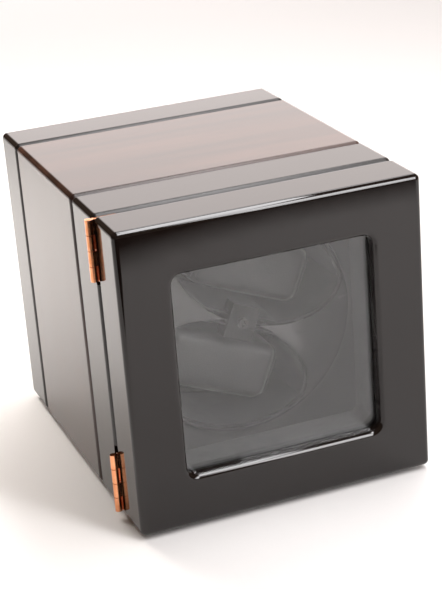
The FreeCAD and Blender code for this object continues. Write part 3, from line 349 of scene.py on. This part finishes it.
def wood_grain_effect():
    """Long grain that runs round the case. Figure is the broad colour, pores the fine dark lines."""
    tree, recipe, given, result = new_effect(
        "wood grain", {"Place": (0, 0, 0), "Figure size": 55.0, "Pore size": 900.0}, ["Figure", "Pores"])
    sway = recipe.clouds(given["Place"], 9.0, detail=1)
    figure = recipe.clouds(given["Place"], given["Figure size"], detail=5, roughness=0.55, distortion=0.8)
    figure = recipe.math("ADD", recipe.math("MULTIPLY", figure, 0.75), recipe.math("MULTIPLY", sway, 0.25))
    recipe.feed(result["Figure"], recipe.span(figure, 0.36, 0.64))
    pores = recipe.clouds(given["Place"], given["Pore size"], detail=3, roughness=0.7)
    recipe.feed(result["Pores"], recipe.span(pores, 0.52, 0.68))
    return tree


def moulded_effect():
    """Fine spark-eroded texture of moulded plastic and paint, with a slow unevenness."""
    tree, recipe, given, result = new_effect(
        "moulded skin", {"Place": (0, 0, 0), "Grain size": 2600.0, "Patch size": 45.0}, ["Relief", "Patches"])
    fine = recipe.clouds(given["Place"], given["Grain size"], detail=3, roughness=0.6)
    recipe.feed(result["Relief"], fine)
    recipe.feed(result["Patches"], recipe.clouds(given["Place"], given["Patch size"], detail=3))
    return tree


def brushed_effect():
    """Fine parallel scratches of drawn or turned metal, with duller patches."""
    tree, recipe, given, result = new_effect(
        "brushed metal", {"Place": (0, 0, 0), "Line size": 5000.0, "Patch size": 120.0}, ["Lines", "Patches"])
    lines = recipe.clouds(given["Place"], given["Line size"], detail=2, roughness=0.7)
    recipe.feed(result["Lines"], lines)
    patches = recipe.clouds(given["Place"], given["Patch size"], detail=3, roughness=0.6)
    recipe.feed(result["Patches"], recipe.span(patches, 0.35, 0.7))
    return tree


def hide_effect():
    """Pebbled leather: rounded grains with creases between them, and broader folds."""
    tree, recipe, given, result = new_effect(
        "leather grain", {"Place": (0, 0, 0), "Pebble size": 850.0, "Fold size": 60.0}, ["Relief", "Creases"])
    pebbles = recipe.cells(given["Place"], given["Pebble size"], "SMOOTH_F1")
    creases = recipe.span(recipe.cells(given["Place"], given["Pebble size"], "DISTANCE_TO_EDGE"), 0.0, 0.12)
    folds = recipe.clouds(given["Place"], given["Fold size"], detail=4, roughness=0.6)
    dome = recipe.span(pebbles, 0.0, 0.7, 1.0, 0.0)
    relief = recipe.math("MULTIPLY", dome, creases)
    recipe.feed(result["Relief"], recipe.math("ADD", relief, folds))
    recipe.feed(result["Creases"], creases)
    return tree


def pile_effect():
    """Short upright fibres of flock or microfibre, with brushed shadows."""
    tree, recipe, given, result = new_effect(
        "short pile", {"Place": (0, 0, 0), "Fibre size": 4200.0, "Nap size": 70.0}, ["Fibres", "Nap"])
    fibres = recipe.clouds(given["Place"], given["Fibre size"], detail=3, roughness=0.8)
    recipe.feed(result["Fibres"], fibres)
    nap = recipe.clouds(given["Place"], given["Nap size"], detail=3, roughness=0.55, distortion=0.6)
    recipe.feed(result["Nap"], recipe.span(nap, 0.38, 0.64))
    return tree


EFFECTS = {
    "handling": handling_effect(),
    "wood grain": wood_grain_effect(),
    "moulded skin": moulded_effect(),
    "brushed metal": brushed_effect(),
    "leather grain": hide_effect(),
    "short pile": pile_effect(),
}


# ---------------------------------------------------------------- finishes


def new_finish(name, **shader_values):
    """A material with one Principled shader, whose plain values are given by name."""
    material = bpy.data.materials.new(name)
    material.use_nodes = True
    recipe = Recipe(material.node_tree)
    shader = material.node_tree.nodes["Principled BSDF"]
    for label, value in shader_values.items():
        shader.inputs[label.replace("_", " ").title().replace("Ior", "IOR")].default_value = value
    return material, recipe, shader


def effect(recipe, name, place, **values):
    """Places a shared effect in a finish and returns its outputs."""
    node = recipe.add("ShaderNodeGroup", node_tree=EFFECTS[name])
    recipe.feed(node.inputs["Place"], place)
    for label, value in values.items():
        node.inputs[label.replace("_", " ").capitalize()].default_value = value
    return node.outputs


def rgb(red, green, blue):
    """An opaque colour."""
    return (red, green, blue, 1.0)


def paper_finish():
    """The pale seamless paper of the studio."""
    material, recipe, shader = new_finish("studio paper", roughness=0.7)
    patches = effect(recipe, "moulded skin", recipe.place(), patch_size=1.5, grain_size=400.0)
    recipe.feed(shader.inputs["Base Color"], recipe.blend(
        patches["Patches"], rgb(0.80, 0.795, 0.785), rgb(0.84, 0.832, 0.822)))
    return material


def flag_finish():
    """Black cloth with a soft edge beside the box, which comes nearer to the box on the left."""
    material, recipe, shader = new_finish("black flag", roughness=1.0, specular_ior_level=0.0)
    where = recipe.add("ShaderNodeSeparateXYZ")
    recipe.feed(where.inputs[0], recipe.place())
    bend = recipe.span(where.outputs["X"], 0.22, -0.22, 0.0, 1.0)
    edge = recipe.math("SUBTRACT", recipe.math("MULTIPLY", recipe.math("MULTIPLY", bend, bend), 0.20), 0.60)
    beyond = recipe.math("SUBTRACT", edge, where.outputs["Y"])
    recipe.feed(shader.inputs["Alpha"], recipe.span(beyond, -0.02, 0.04))
    recipe.feed(shader.inputs["Base Color"], rgb(0.01, 0.009, 0.008))
    return material


def unpolished_rims(recipe):
    """Roughness of the rims beside the grooves round the case, which the polishing wheel cannot reach."""
    where = recipe.add("ShaderNodeSeparateXYZ")
    recipe.feed(where.inputs[0], recipe.place())
    rough = 0.0
    for middle in GROOVE_MIDDLES:
        away = recipe.math("ABSOLUTE", recipe.math("SUBTRACT", where.outputs["Y"], middle))
        rim = recipe.span(away, GROOVE_RIM - RIM_FADE, GROOVE_RIM, RIM_ROUGHNESS, 0.0)
        rough = recipe.math("MAXIMUM", rough, rim)
    return rough


def lacquer_finish(name, dark, light, figure_size, coat):
    """Polished polyester lacquer over dark wood. Smudges dull it and the surface has a slow ripple."""
    material, recipe, shader = new_finish(name, ior=1.5, coat_weight=coat, coat_roughness=0.03)
    grain = effect(
        recipe, "wood grain", recipe.place((0.06, 1.0, 0.06)), figure_size=figure_size, pore_size=900.0)
    marks = effect(recipe, "handling", recipe.place(), patch_size=24.0, dust_size=900.0)
    wood = recipe.blend(grain["Figure"], dark, light)
    wood = recipe.blend(recipe.math("MULTIPLY", grain["Pores"], 0.45), wood, dark)
    dusty = recipe.blend(recipe.math("MULTIPLY", marks["Dust"], 0.05), wood, rgb(0.5, 0.48, 0.46))
    recipe.feed(shader.inputs["Base Color"], dusty)
    polished = recipe.span(marks["Smudge"], 0.0, 1.0, 0.035, 0.085)
    recipe.feed(shader.inputs["Roughness"], recipe.math("MAXIMUM", polished, unpolished_rims(recipe)))
    ripple = recipe.clouds(recipe.place(), 45.0, detail=2)
    recipe.feed(shader.inputs["Normal"], recipe.bump(ripple, 0.04 * MM, 0.35))
    return material


def copper_finish():
    """Rose copper plating, turned, with fine lines round the barrels and slight tarnish."""
    material, recipe, shader = new_finish("copper plate", metallic=1.0)
    lines = effect(
        recipe, "brushed metal", recipe.place((0.15, 0.15, 1.0)), line_size=6000.0, patch_size=160.0)
    recipe.feed(shader.inputs["Base Color"], recipe.blend(
        lines["Patches"], rgb(0.97, 0.44, 0.23), rgb(0.90, 0.34, 0.15)))
    recipe.feed(shader.inputs["Roughness"], recipe.span(lines["Patches"], 0.0, 1.0, 0.17, 0.28))
    recipe.feed(shader.inputs["Normal"], recipe.bump(lines["Lines"], 0.006 * MM, 0.4))
    return material


def metal_finish(name, bright, dull, low, high, stretch, depth):
    """Bare or blackened metal with drawn lines along one way."""
    material, recipe, shader = new_finish(name, metallic=1.0)
    lines = effect(recipe, "brushed metal", recipe.place(stretch), line_size=4200.0, patch_size=110.0)
    recipe.feed(shader.inputs["Base Color"], recipe.blend(lines["Patches"], bright, dull))
    recipe.feed(shader.inputs["Roughness"], recipe.span(lines["Lines"], 0.3, 0.7, low, high))
    recipe.feed(shader.inputs["Normal"], recipe.bump(lines["Lines"], depth, 0.5))
    return material


def plastic_finish(name, dark, light, low, high, depth, grain=2600.0, **shader_values):
    """Moulded plastic or rubber, between two near colours and two roughnesses."""
    material, recipe, shader = new_finish(name, **shader_values)
    skin = effect(recipe, "moulded skin", recipe.place(), grain_size=grain, patch_size=40.0)
    marks = effect(recipe, "handling", recipe.place(), patch_size=55.0, dust_size=1300.0)
    body = recipe.blend(skin["Patches"], dark, light)
    body = recipe.blend(recipe.math("MULTIPLY", marks["Dust"], 0.10), body, rgb(0.45, 0.43, 0.41))
    recipe.feed(shader.inputs["Base Color"], body)
    recipe.feed(shader.inputs["Roughness"], recipe.span(marks["Smudge"], 0.0, 1.0, low, high))
    recipe.feed(shader.inputs["Normal"], recipe.bump(skin["Relief"], depth, 0.6))
    return material


def pile_finish(name, dark, light, sheen):
    """Black flock or microfibre, lighter where the nap is brushed towards the light."""
    material, recipe, shader = new_finish(
        name, sheen_weight=sheen, sheen_roughness=0.4, specular_ior_level=0.3)
    pile = effect(recipe, "short pile", recipe.place(), fibre_size=4200.0, nap_size=70.0)
    share = recipe.math("ADD", recipe.math("MULTIPLY", pile["Nap"], 0.6), recipe.math(
        "MULTIPLY", pile["Fibres"], 0.4))
    recipe.feed(shader.inputs["Base Color"], recipe.blend(share, dark, light))
    recipe.feed(shader.inputs["Roughness"], recipe.span(pile["Fibres"], 0.3, 0.7, 0.78, 0.95))
    recipe.feed(shader.inputs["Normal"], recipe.bump(pile["Fibres"], 0.15 * MM, 0.6))
    return material


def board_finish(name, dark, light, low, high, depth):
    """Pressed fibre board: mottled, with short fibres."""
    material, recipe, shader = new_finish(name, specular_ior_level=0.35)
    fibres = effect(recipe, "short pile", recipe.place((1.0, 0.3, 1.0)), fibre_size=1800.0, nap_size=90.0)
    share = recipe.math("ADD", recipe.math("MULTIPLY", fibres["Fibres"], 0.7), recipe.math(
        "MULTIPLY", fibres["Nap"], 0.3))
    recipe.feed(shader.inputs["Base Color"], recipe.blend(share, dark, light))
    recipe.feed(shader.inputs["Roughness"], recipe.span(fibres["Fibres"], 0.3, 0.7, low, high))
    recipe.feed(shader.inputs["Normal"], recipe.bump(fibres["Fibres"], depth, 0.5))
    return material


def leather_finish():
    """Soft black leather cloth with a pebbled grain that is duller in its creases and is painted darker there
    as shade.
    """
    material, recipe, shader = new_finish("cushion leather", sheen_weight=0.15, sheen_roughness=0.5)
    hide = effect(recipe, "leather grain", recipe.place(), pebble_size=850.0, fold_size=60.0)
    # Painted shade: the base colour is darker in the creases between the pebbles.
    recipe.feed(shader.inputs["Base Color"], recipe.blend(
        hide["Creases"], rgb(0.016, 0.015, 0.015), rgb(0.030, 0.028, 0.028)))
    recipe.feed(shader.inputs["Roughness"], recipe.span(hide["Creases"], 0.0, 1.0, 0.60, 0.48))
    recipe.feed(shader.inputs["Normal"], recipe.bump(hide["Relief"], 0.12 * MM, 0.5))
    return material


def thread_finish():
    """Twisted black sewing thread with a dull shine."""
    material, recipe, shader = new_finish("sewing thread", sheen_weight=0.3)
    twist = effect(recipe, "short pile", recipe.place(), fibre_size=6000.0, nap_size=400.0)
    recipe.feed(shader.inputs["Base Color"], recipe.blend(
        twist["Fibres"], rgb(0.03, 0.028, 0.028), rgb(0.075, 0.07, 0.07)))
    recipe.feed(shader.inputs["Roughness"], recipe.span(twist["Fibres"], 0.3, 0.7, 0.45, 0.7))
    recipe.feed(shader.inputs["Normal"], recipe.bump(twist["Fibres"], 0.08 * MM, 0.5))
    return material


def glass_finish():
    """Clear float glass with a faint grey-green tint. Lamps shine through it."""
    material, recipe, shader = new_finish(
        "window glass", transmission_weight=1.0, ior=1.52, roughness=0.0)
    tint = recipe.clouds(recipe.place(), 12.0)
    recipe.feed(shader.inputs["Base Color"], recipe.blend(
        tint, rgb(0.955, 0.965, 0.96), rgb(0.975, 0.98, 0.975)))
    out = material.node_tree.nodes["Material Output"]
    clear = recipe.add("ShaderNodeBsdfTransparent")
    clear.inputs["Color"].default_value = rgb(0.93, 0.94, 0.935)
    path = recipe.add("ShaderNodeLightPath")
    either = recipe.add("ShaderNodeMixShader")
    recipe.feed(either.inputs["Fac"], path.outputs["Is Shadow Ray"])
    recipe.feed(either.inputs[1], shader.outputs[0])
    recipe.feed(either.inputs[2], clear.outputs[0])
    recipe.feed(out.inputs["Surface"], either.outputs[0])
    return material


def bumper_finish():
    """Clear soft plastic dots, slightly cloudy."""
    material, recipe, shader = new_finish(
        "clear bumper", transmission_weight=0.85, ior=1.48, roughness=0.18)
    haze = effect(recipe, "moulded skin", recipe.place(), grain_size=1800.0, patch_size=300.0)
    recipe.feed(shader.inputs["Base Color"], recipe.blend(
        haze["Patches"], rgb(0.86, 0.88, 0.87), rgb(0.94, 0.95, 0.94)))
    recipe.feed(shader.inputs["Normal"], recipe.bump(haze["Relief"], 0.02 * MM, 0.4))
    return material


def circuit_finish():
    """Green solder mask over copper tracks, with bare pads."""
    material, recipe, shader = new_finish("circuit board", coat_weight=0.4, coat_roughness=0.15)
    tracks = recipe.cells(recipe.place(), 330.0, "DISTANCE_TO_EDGE")
    lines = recipe.span(tracks, 0.05, 0.09, 1.0, 0.0)
    pads = recipe.span(recipe.cells(recipe.place(), 330.0), 0.16, 0.20, 1.0, 0.0)
    mask = recipe.blend(lines, rgb(0.010, 0.105, 0.035), rgb(0.030, 0.200, 0.075))
    recipe.feed(shader.inputs["Base Color"], recipe.blend(pads, mask, rgb(0.72, 0.55, 0.25)))
    recipe.feed(shader.inputs["Metallic"], recipe.math("MULTIPLY", pads, 0.9))
    recipe.feed(shader.inputs["Roughness"], recipe.span(pads, 0.0, 1.0, 0.35, 0.25))
    recipe.feed(shader.inputs["Normal"], recipe.bump(lines, 0.04 * MM, 0.5))
    return material


def ink_finish():
    """White printing ink, a little worn."""
    material, recipe, shader = new_finish("white print")
    wear = effect(recipe, "moulded skin", recipe.place(), grain_size=1500.0, patch_size=400.0)
    recipe.feed(shader.inputs["Base Color"], recipe.blend(
        wear["Relief"], rgb(0.60, 0.60, 0.58), rgb(0.86, 0.86, 0.84)))
    recipe.feed(shader.inputs["Roughness"], recipe.span(wear["Patches"], 0.3, 0.7, 0.45, 0.65))
    return material


def make_finishes():
    """Every finish of the box, under the name of its slot in the record."""
    black_lacquer = lacquer_finish(
        "piano lacquer", rgb(0.0040, 0.0024, 0.0020), rgb(0.0080, 0.0050, 0.0040), 30.0, 0.0)
    veneer = lacquer_finish(
        "lacquered veneer", rgb(0.013, 0.0045, 0.0028), rgb(0.062, 0.025, 0.016), 55.0, 0.0)
    across, upright, along = (0.1, 1.0, 1.0), (1.0, 1.0, 0.1), (1.0, 0.1, 1.0)
    return {
        "black_lacquer": black_lacquer,
        "veneer": veneer,
        "black_lining": pile_finish(
            "black flock lining", rgb(0.016, 0.015, 0.015), rgb(0.040, 0.038, 0.038), 0.25),
        "board": board_finish(
            "fibre board", rgb(0.20, 0.115, 0.06), rgb(0.36, 0.23, 0.13), 0.7, 0.9, 0.12 * MM),
        "back_board": board_finish(
            "black back board", rgb(0.011, 0.010, 0.010), rgb(0.026, 0.024, 0.023), 0.42, 0.6, 0.10 * MM),
        "glass": glass_finish(),
        "copper": copper_finish(),
        "steel": metal_finish(
            "nickelled steel", rgb(0.72, 0.71, 0.69), rgb(0.55, 0.54, 0.52), 0.18, 0.34, across, 0.01 * MM),
        "black_steel": metal_finish(
            "blackened steel", rgb(0.075, 0.072, 0.070), rgb(0.035, 0.033, 0.032),
            0.28, 0.45, along, 0.01 * MM),
        "bronze": metal_finish(
            "sintered bronze", rgb(0.62, 0.40, 0.20), rgb(0.42, 0.25, 0.11), 0.30, 0.50, upright, 0.03 * MM),
        "gear_plastic": plastic_finish(
            "white acetal", rgb(0.70, 0.68, 0.62), rgb(0.78, 0.765, 0.72), 0.30, 0.42, 0.01 * MM),
        "rotor_gloss": plastic_finish(
            "gloss black plastic", rgb(0.040, 0.037, 0.038), rgb(0.052, 0.049, 0.050),
            0.14, 0.30, 0.004 * MM),
        "cup_plastic": pile_finish(
            "black cup flock", rgb(0.010, 0.009, 0.010), rgb(0.028, 0.026, 0.027), 0.15),
        "cushion_leather": leather_finish(),
        "rubber": plastic_finish(
            "black rubber", rgb(0.014, 0.014, 0.014), rgb(0.026, 0.025, 0.025),
            0.72, 0.9, 0.05 * MM, grain=1500.0),
        "clear_bumper": bumper_finish(),
        "control_black": plastic_finish(
            "satin black plastic", rgb(0.014, 0.014, 0.015), rgb(0.024, 0.023, 0.024),
            0.38, 0.52, 0.035 * MM),
        "control_gloss": plastic_finish(
            "polished black plastic", rgb(0.018, 0.018, 0.019), rgb(0.028, 0.028, 0.029),
            0.14, 0.26, 0.01 * MM),
        "circuit_green": circuit_finish(),
    }


def satin_panel_finish():
    """The smooth satin black panel round the rotor."""
    return plastic_finish(
        "satin black panel", rgb(0.050, 0.047, 0.048), rgb(0.060, 0.057, 0.057), 0.30, 0.42, 0.02 * MM)


def dress_cad_nodes(finishes):
    """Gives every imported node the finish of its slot, and the panel round the rotor its own."""
    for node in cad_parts.values():
        for held in node.material_slots:
            held.material = finishes[held.material.name]
    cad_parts["rotor_surround"].material_slots[0].material = satin_panel_finish()


# ---------------------------------------------------------------- cushions


def add_piece(name, mesh, finish, body):
    """Puts a finished mesh in the scene as a piece that rides on a body."""
    piece = bpy.data.objects.new(name, mesh)
    bpy.context.scene.collection.objects.link(piece)
    mesh.materials.clear()
    mesh.materials.append(finish)
    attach(piece, body)
    return piece


def cushion_place(node):
    """Where a cushion's own axes sit: its width leans with the rotor."""
    low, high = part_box(node)
    return Matrix.Translation((low + high) / 2) @ Matrix.Rotation(math.radians(ROTOR_LEAN), 4, "Y")


def set_back(millimetres):
    """The same distance along all three axes."""
    return Vector((millimetres, millimetres, millimetres)) * MM


def cushion_blank():
    """A plain box of the cushion's full size, finely divided."""
    blank = bmesh.new()
    bmesh.ops.create_cube(blank, size=1)
    bmesh.ops.subdivide_edges(blank, edges=blank.edges[:], cuts=BLANK_CUTS, use_grid_fill=True)
    half = Vector((CUSHION_WIDTH, CUSHION_DEPTH, CUSHION_HEIGHT)) / 2
    for point in blank.verts:
        point.co = Vector(2 * a * h for a, h in zip(point.co, half))
    mesh = bpy.data.meshes.new("cushion_blank")
    blank.to_mesh(mesh)
    blank.free()
    return mesh


def rounded_size(place, half, corner):
    """Pulls a point of a box in to a box with rounded edges and corners."""
    core = Vector(max(h - corner, 0) for h in half)
    held = Vector(max(-c, min(c, p)) for p, c in zip(place, core))
    away = place - held
    return held + away.normalized() * corner if away.length > corner else place


def swell(piece):
    """Blows the cushion up a little as cloth round foam, and returns its new points."""
    cloth = piece.modifiers.new("cloth", "CLOTH")
    cloth.settings.quality = 6
    cloth.settings.mass = 0.2
    cloth.settings.use_pressure = True
    cloth.settings.uniform_pressure_force = 4
    cloth.settings.tension_stiffness = 25
    cloth.settings.compression_stiffness = 25
    cloth.settings.bending_stiffness = 3
    cloth.settings.effector_weights.gravity = 0
    cloth.point_cache.frame_start = 1
    cloth.point_cache.frame_end = SWELL_STEPS
    for step in range(1, SWELL_STEPS + 1):
        bpy.context.scene.frame_set(step)
    shaped = piece.evaluated_get(bpy.context.evaluated_depsgraph_get())
    points = [v.co.copy() for v in shaped.data.vertices]
    piece.modifiers.remove(cloth)
    bpy.context.scene.frame_set(1)
    return points


def sewn_shape(place, half):
    """Crowns the long faces and pinches the cloth at the two end seams."""
    along = abs(place.x) / half.x
    inset = (half.x - abs(place.x) - END_SEAM_INSET) / SEAM_BREADTH
    pinch = 1 - PINCH_SHARE * math.exp(-inset * inset)
    crown = 1 - CROWN_SHARE * along ** 3
    end_bulge = 1 - END_SHARE * ((place.y / half.y) ** 2 + (place.z / half.z) ** 2)
    return Vector((place.x * end_bulge, place.y * pinch * crown, place.z * pinch * crown))


def make_cushion(name, node, body, finishes):
    """One watch cushion: foam in leather cloth, with a wrapped body and two sewn end caps."""
    half = Vector((CUSHION_WIDTH, CUSHION_DEPTH, CUSHION_HEIGHT)) / 2
    start = half - set_back(FOAM_SETBACK)
    mesh = cushion_blank()
    for point in mesh.vertices:
        scaled = Vector(p * s / h for p, s, h in zip(point.co, start, half))
        point.co = rounded_size(scaled, start, FOAM_CORNER)
    piece = bpy.data.objects.new(name, mesh)
    bpy.context.scene.collection.objects.link(piece)
    remesh = piece.modifiers.new("voxels", "REMESH")
    remesh.mode = "VOXEL"
    remesh.voxel_size = VOXEL_SIZE
    bpy.context.view_layer.update()
    skinned = bpy.data.meshes.new_from_object(
        piece.evaluated_get(bpy.context.evaluated_depsgraph_get()))
    piece.modifiers.remove(remesh)
    piece.data = skinned
    rest = [v.co.copy() for v in skinned.vertices]
    swollen = swell(piece)
    for point, was, now in zip(skinned.vertices, rest, swollen):
        moved = now - was
        if moved.length > SWELL_LIMIT:
            moved = moved.normalized() * SWELL_LIMIT
        inside = rounded_size(was + moved, half - set_back(SKIN_SETBACK), SKIN_CORNER)
        point.co = sewn_shape(inside, half)
    smooth = piece.modifiers.new("smooth", "SUBSURF")
    smooth.levels = smooth.render_levels = 1
    bpy.context.view_layer.update()
    finished = bpy.data.meshes.new_from_object(
        piece.evaluated_get(bpy.context.evaluated_depsgraph_get()))
    finished.name = name
    piece.modifiers.clear()
    bpy.data.objects.remove(piece)
    finished.polygons.foreach_set("use_smooth", [True] * len(finished.polygons))
    surface = BVHTree.FromPolygons(
        [v.co for v in finished.vertices], [p.vertices for p in finished.polygons])
    home = cushion_place(node)
    finished.transform(home)
    pillow = add_piece(name, finished, finishes["cushion_leather"], body)
    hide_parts(node)
    make_seams(name, surface, home, body, finishes)


def seam_loop(surface, station, lift):
    """Points round the cushion at one station of its width, lifted off its skin."""
    points = []
    for step in range(SEAM_STEPS):
        turn = 2 * math.pi * step / SEAM_STEPS
        outward = Vector((0, math.cos(turn), math.sin(turn)))
        start = Vector((station, 0, 0)) + outward * RAY_START * MM
        hit, normal = surface.ray_cast(start, -outward)[:2]
        if hit is not None:
            flat_normal = Vector((0, normal.y, normal.z)).normalized()
            points.append(hit + flat_normal * lift)
    return points


def ring_of_points(build, middle, radius, side, top, sides):
    """Adds the points of one ring, round a middle, in the plane of two directions."""
    ring = []
    for corner in range(sides):
        turn = 2 * math.pi * corner / sides
        ring.append(build.verts.new(middle + radius * (math.cos(turn) * side + math.sin(turn) * top)))
    return ring


def tube_mesh(build, points, radius, sides=PIPING_SIDES):
    """Adds a closed tube along a closed loop of points."""
    rings = []
    count = len(points)
    for here in range(count):
        ahead = (points[(here + 1) % count] - points[here - 1]).normalized()
        side = ahead.cross(Vector((1, 0, 0))).normalized()
        top = side.cross(ahead)
        rings.append(ring_of_points(build, points[here], radius, side, top, sides))
    for here in range(count):
        after = rings[(here + 1) % count]
        for corner in range(sides):
            following = (corner + 1) % sides
            build.faces.new((rings[here][corner], rings[here][following], after[following], after[corner]))


def stitch(build, start, end, radius):
    """Adds one stitch: a short bead of thread that dips at both ends."""
    along = end - start
    ahead = along.normalized()
    side = ahead.cross(Vector((1, 0, 0))).normalized()
    top = Vector((1, 0, 0))
    rings = []
    shape = ((0.0, 0.35), (0.2, 0.9), (0.5, 1.0), (0.8, 0.9), (1.0, 0.35))
    for share, width in shape:
        middle = start + along * share
        rings.append(ring_of_points(build, middle, radius * width, side, top, STITCH_SIDES))
    for near, far in zip(rings, rings[1:]):
        for corner in range(STITCH_SIDES):
            following = (corner + 1) % STITCH_SIDES
            build.faces.new((near[corner], near[following], far[following], far[corner]))
    build.faces.new(rings[0][::-1])
    build.faces.new(rings[-1])


def smooth_mesh(build, name):
    """Turns a bmesh into a smooth mesh with its faces outward."""
    bmesh.ops.recalc_face_normals(build, faces=build.faces[:])
    mesh = bpy.data.meshes.new(name)
    build.to_mesh(mesh)
    build.free()
    mesh.polygons.foreach_set("use_smooth", [True] * len(mesh.polygons))
    return mesh


def make_seams(name, surface, home, body, finishes):
    """Piping in the two end seams of a cushion, and a row of stitches inside each."""
    seam = CUSHION_WIDTH / 2 - END_SEAM_INSET
    piping = bmesh.new()
    stitches = bmesh.new()
    for end in (-1, 1):
        tube_mesh(piping, seam_loop(surface, end * seam, PIPING_LIFT), PIPING_RADIUS)
        row = seam_loop(surface, end * (seam - STITCH_INSET), STITCH_LIFT)
        for first in range(0, len(row) - 1, 2):
            start, end_point = row[first], row[first + 1]
            stitch(stitches, start, start.lerp(end_point, STITCH_STRETCH), STITCH_RADIUS)
    for label, build, finish in (
            ("piping", piping, finishes["cushion_leather"]),
            ("stitches", stitches, thread_finish())):
        mesh = smooth_mesh(build, name + "_" + label)
        mesh.transform(home)
        add_piece(name + "_" + label, mesh, finish, body)


# ---------------------------------------------------------------- printed marks


def flat_bar(build, centre, along, length, width, face, height):
    """Adds a thin printed bar that lies on the back of the control plate."""
    across = Vector((-along.z, 0, along.x))
    corners = []
    for up in (0, height):
        for a, b in ((-1, -1), (1, -1), (1, 1), (-1, 1)):
            flat = centre + along * (a * length / 2) + across * (b * width / 2)
            corners.append(build.verts.new((flat.x, face + up, flat.z)))
    for quad in ((0, 1, 2, 3), (4, 5, 6, 7), (0, 1, 5, 4), (1, 2, 6, 5), (2, 3, 7, 6), (3, 0, 4, 7)):
        build.faces.new([corners[i] for i in quad])


def knob_scale(build, centre, face):
    """A ring of tick marks round the knob, longer every third one."""
    for tick in range(KNOB_TICKS):
        turn = math.radians(-KNOB_SWEEP / 2 + KNOB_SWEEP * tick / (KNOB_TICKS - 1))
        out = Vector((math.sin(turn), 0, math.cos(turn)))
        length = LONG_TICK if tick % 3 == 0 else SHORT_TICK
        middle = centre + out * (KNOB_SCALE_RADIUS + length / 2)
        flat_bar(build, middle, out, length, TICK_WIDTH, face, INK_THICKNESS)


def direction_arrows(build, centre, face):
    """A chevron on each side of the slide switch, and a short bar under its middle."""
    for side in (-1, 1):
        tip = centre + Vector((side * ARROW_REACH, 0, 0))
        for lean in (-1, 1):
            arm = Vector((-side, 0, lean * ARROW_SLOPE)).normalized()
            flat_bar(build, tip + arm * ARM_MIDDLE * MM, arm, ARROW_ARM, ARROW_WIDTH, face, INK_THICKNESS)
    below = centre + Vector((0, 0, MIDDLE_BAR_DROP))
    flat_bar(build, below, Vector((1, 0, 0)), MIDDLE_BAR_LENGTH, ARROW_WIDTH, face, INK_THICKNESS)


def make_printed_marks():
    """Tick marks for the knob and arrows for the direction switch, on the back plate."""
    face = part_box("control_plate")[1].y
    knob_low, knob_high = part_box("turns_knob")
    slide_low, slide_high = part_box("direction_slider")
    marks = bmesh.new()
    knob_scale(marks, (knob_low + knob_high) / 2, face)
    direction_arrows(marks, (slide_low + slide_high) / 2, face)
    bmesh.ops.recalc_face_normals(marks, faces=marks.faces[:])
    mesh = bpy.data.meshes.new("printed_marks")
    marks.to_mesh(mesh)
    marks.free()
    add_piece("printed_marks", mesh, ink_finish(), "case")


# ---------------------------------------------------------------- the whole scene


bpy.context.scene.view_settings.view_transform = "Standard"
set_camera()
set_surroundings()
set_lamps()
set_floor()
finishes = make_finishes()
dress_cad_nodes(finishes)
make_cushion("upper_pillow", "upper_cushion", "upper_pillow", finishes)
make_cushion("lower_pillow", "lower_cushion", "lower_pillow", finishes)
make_printed_marks()
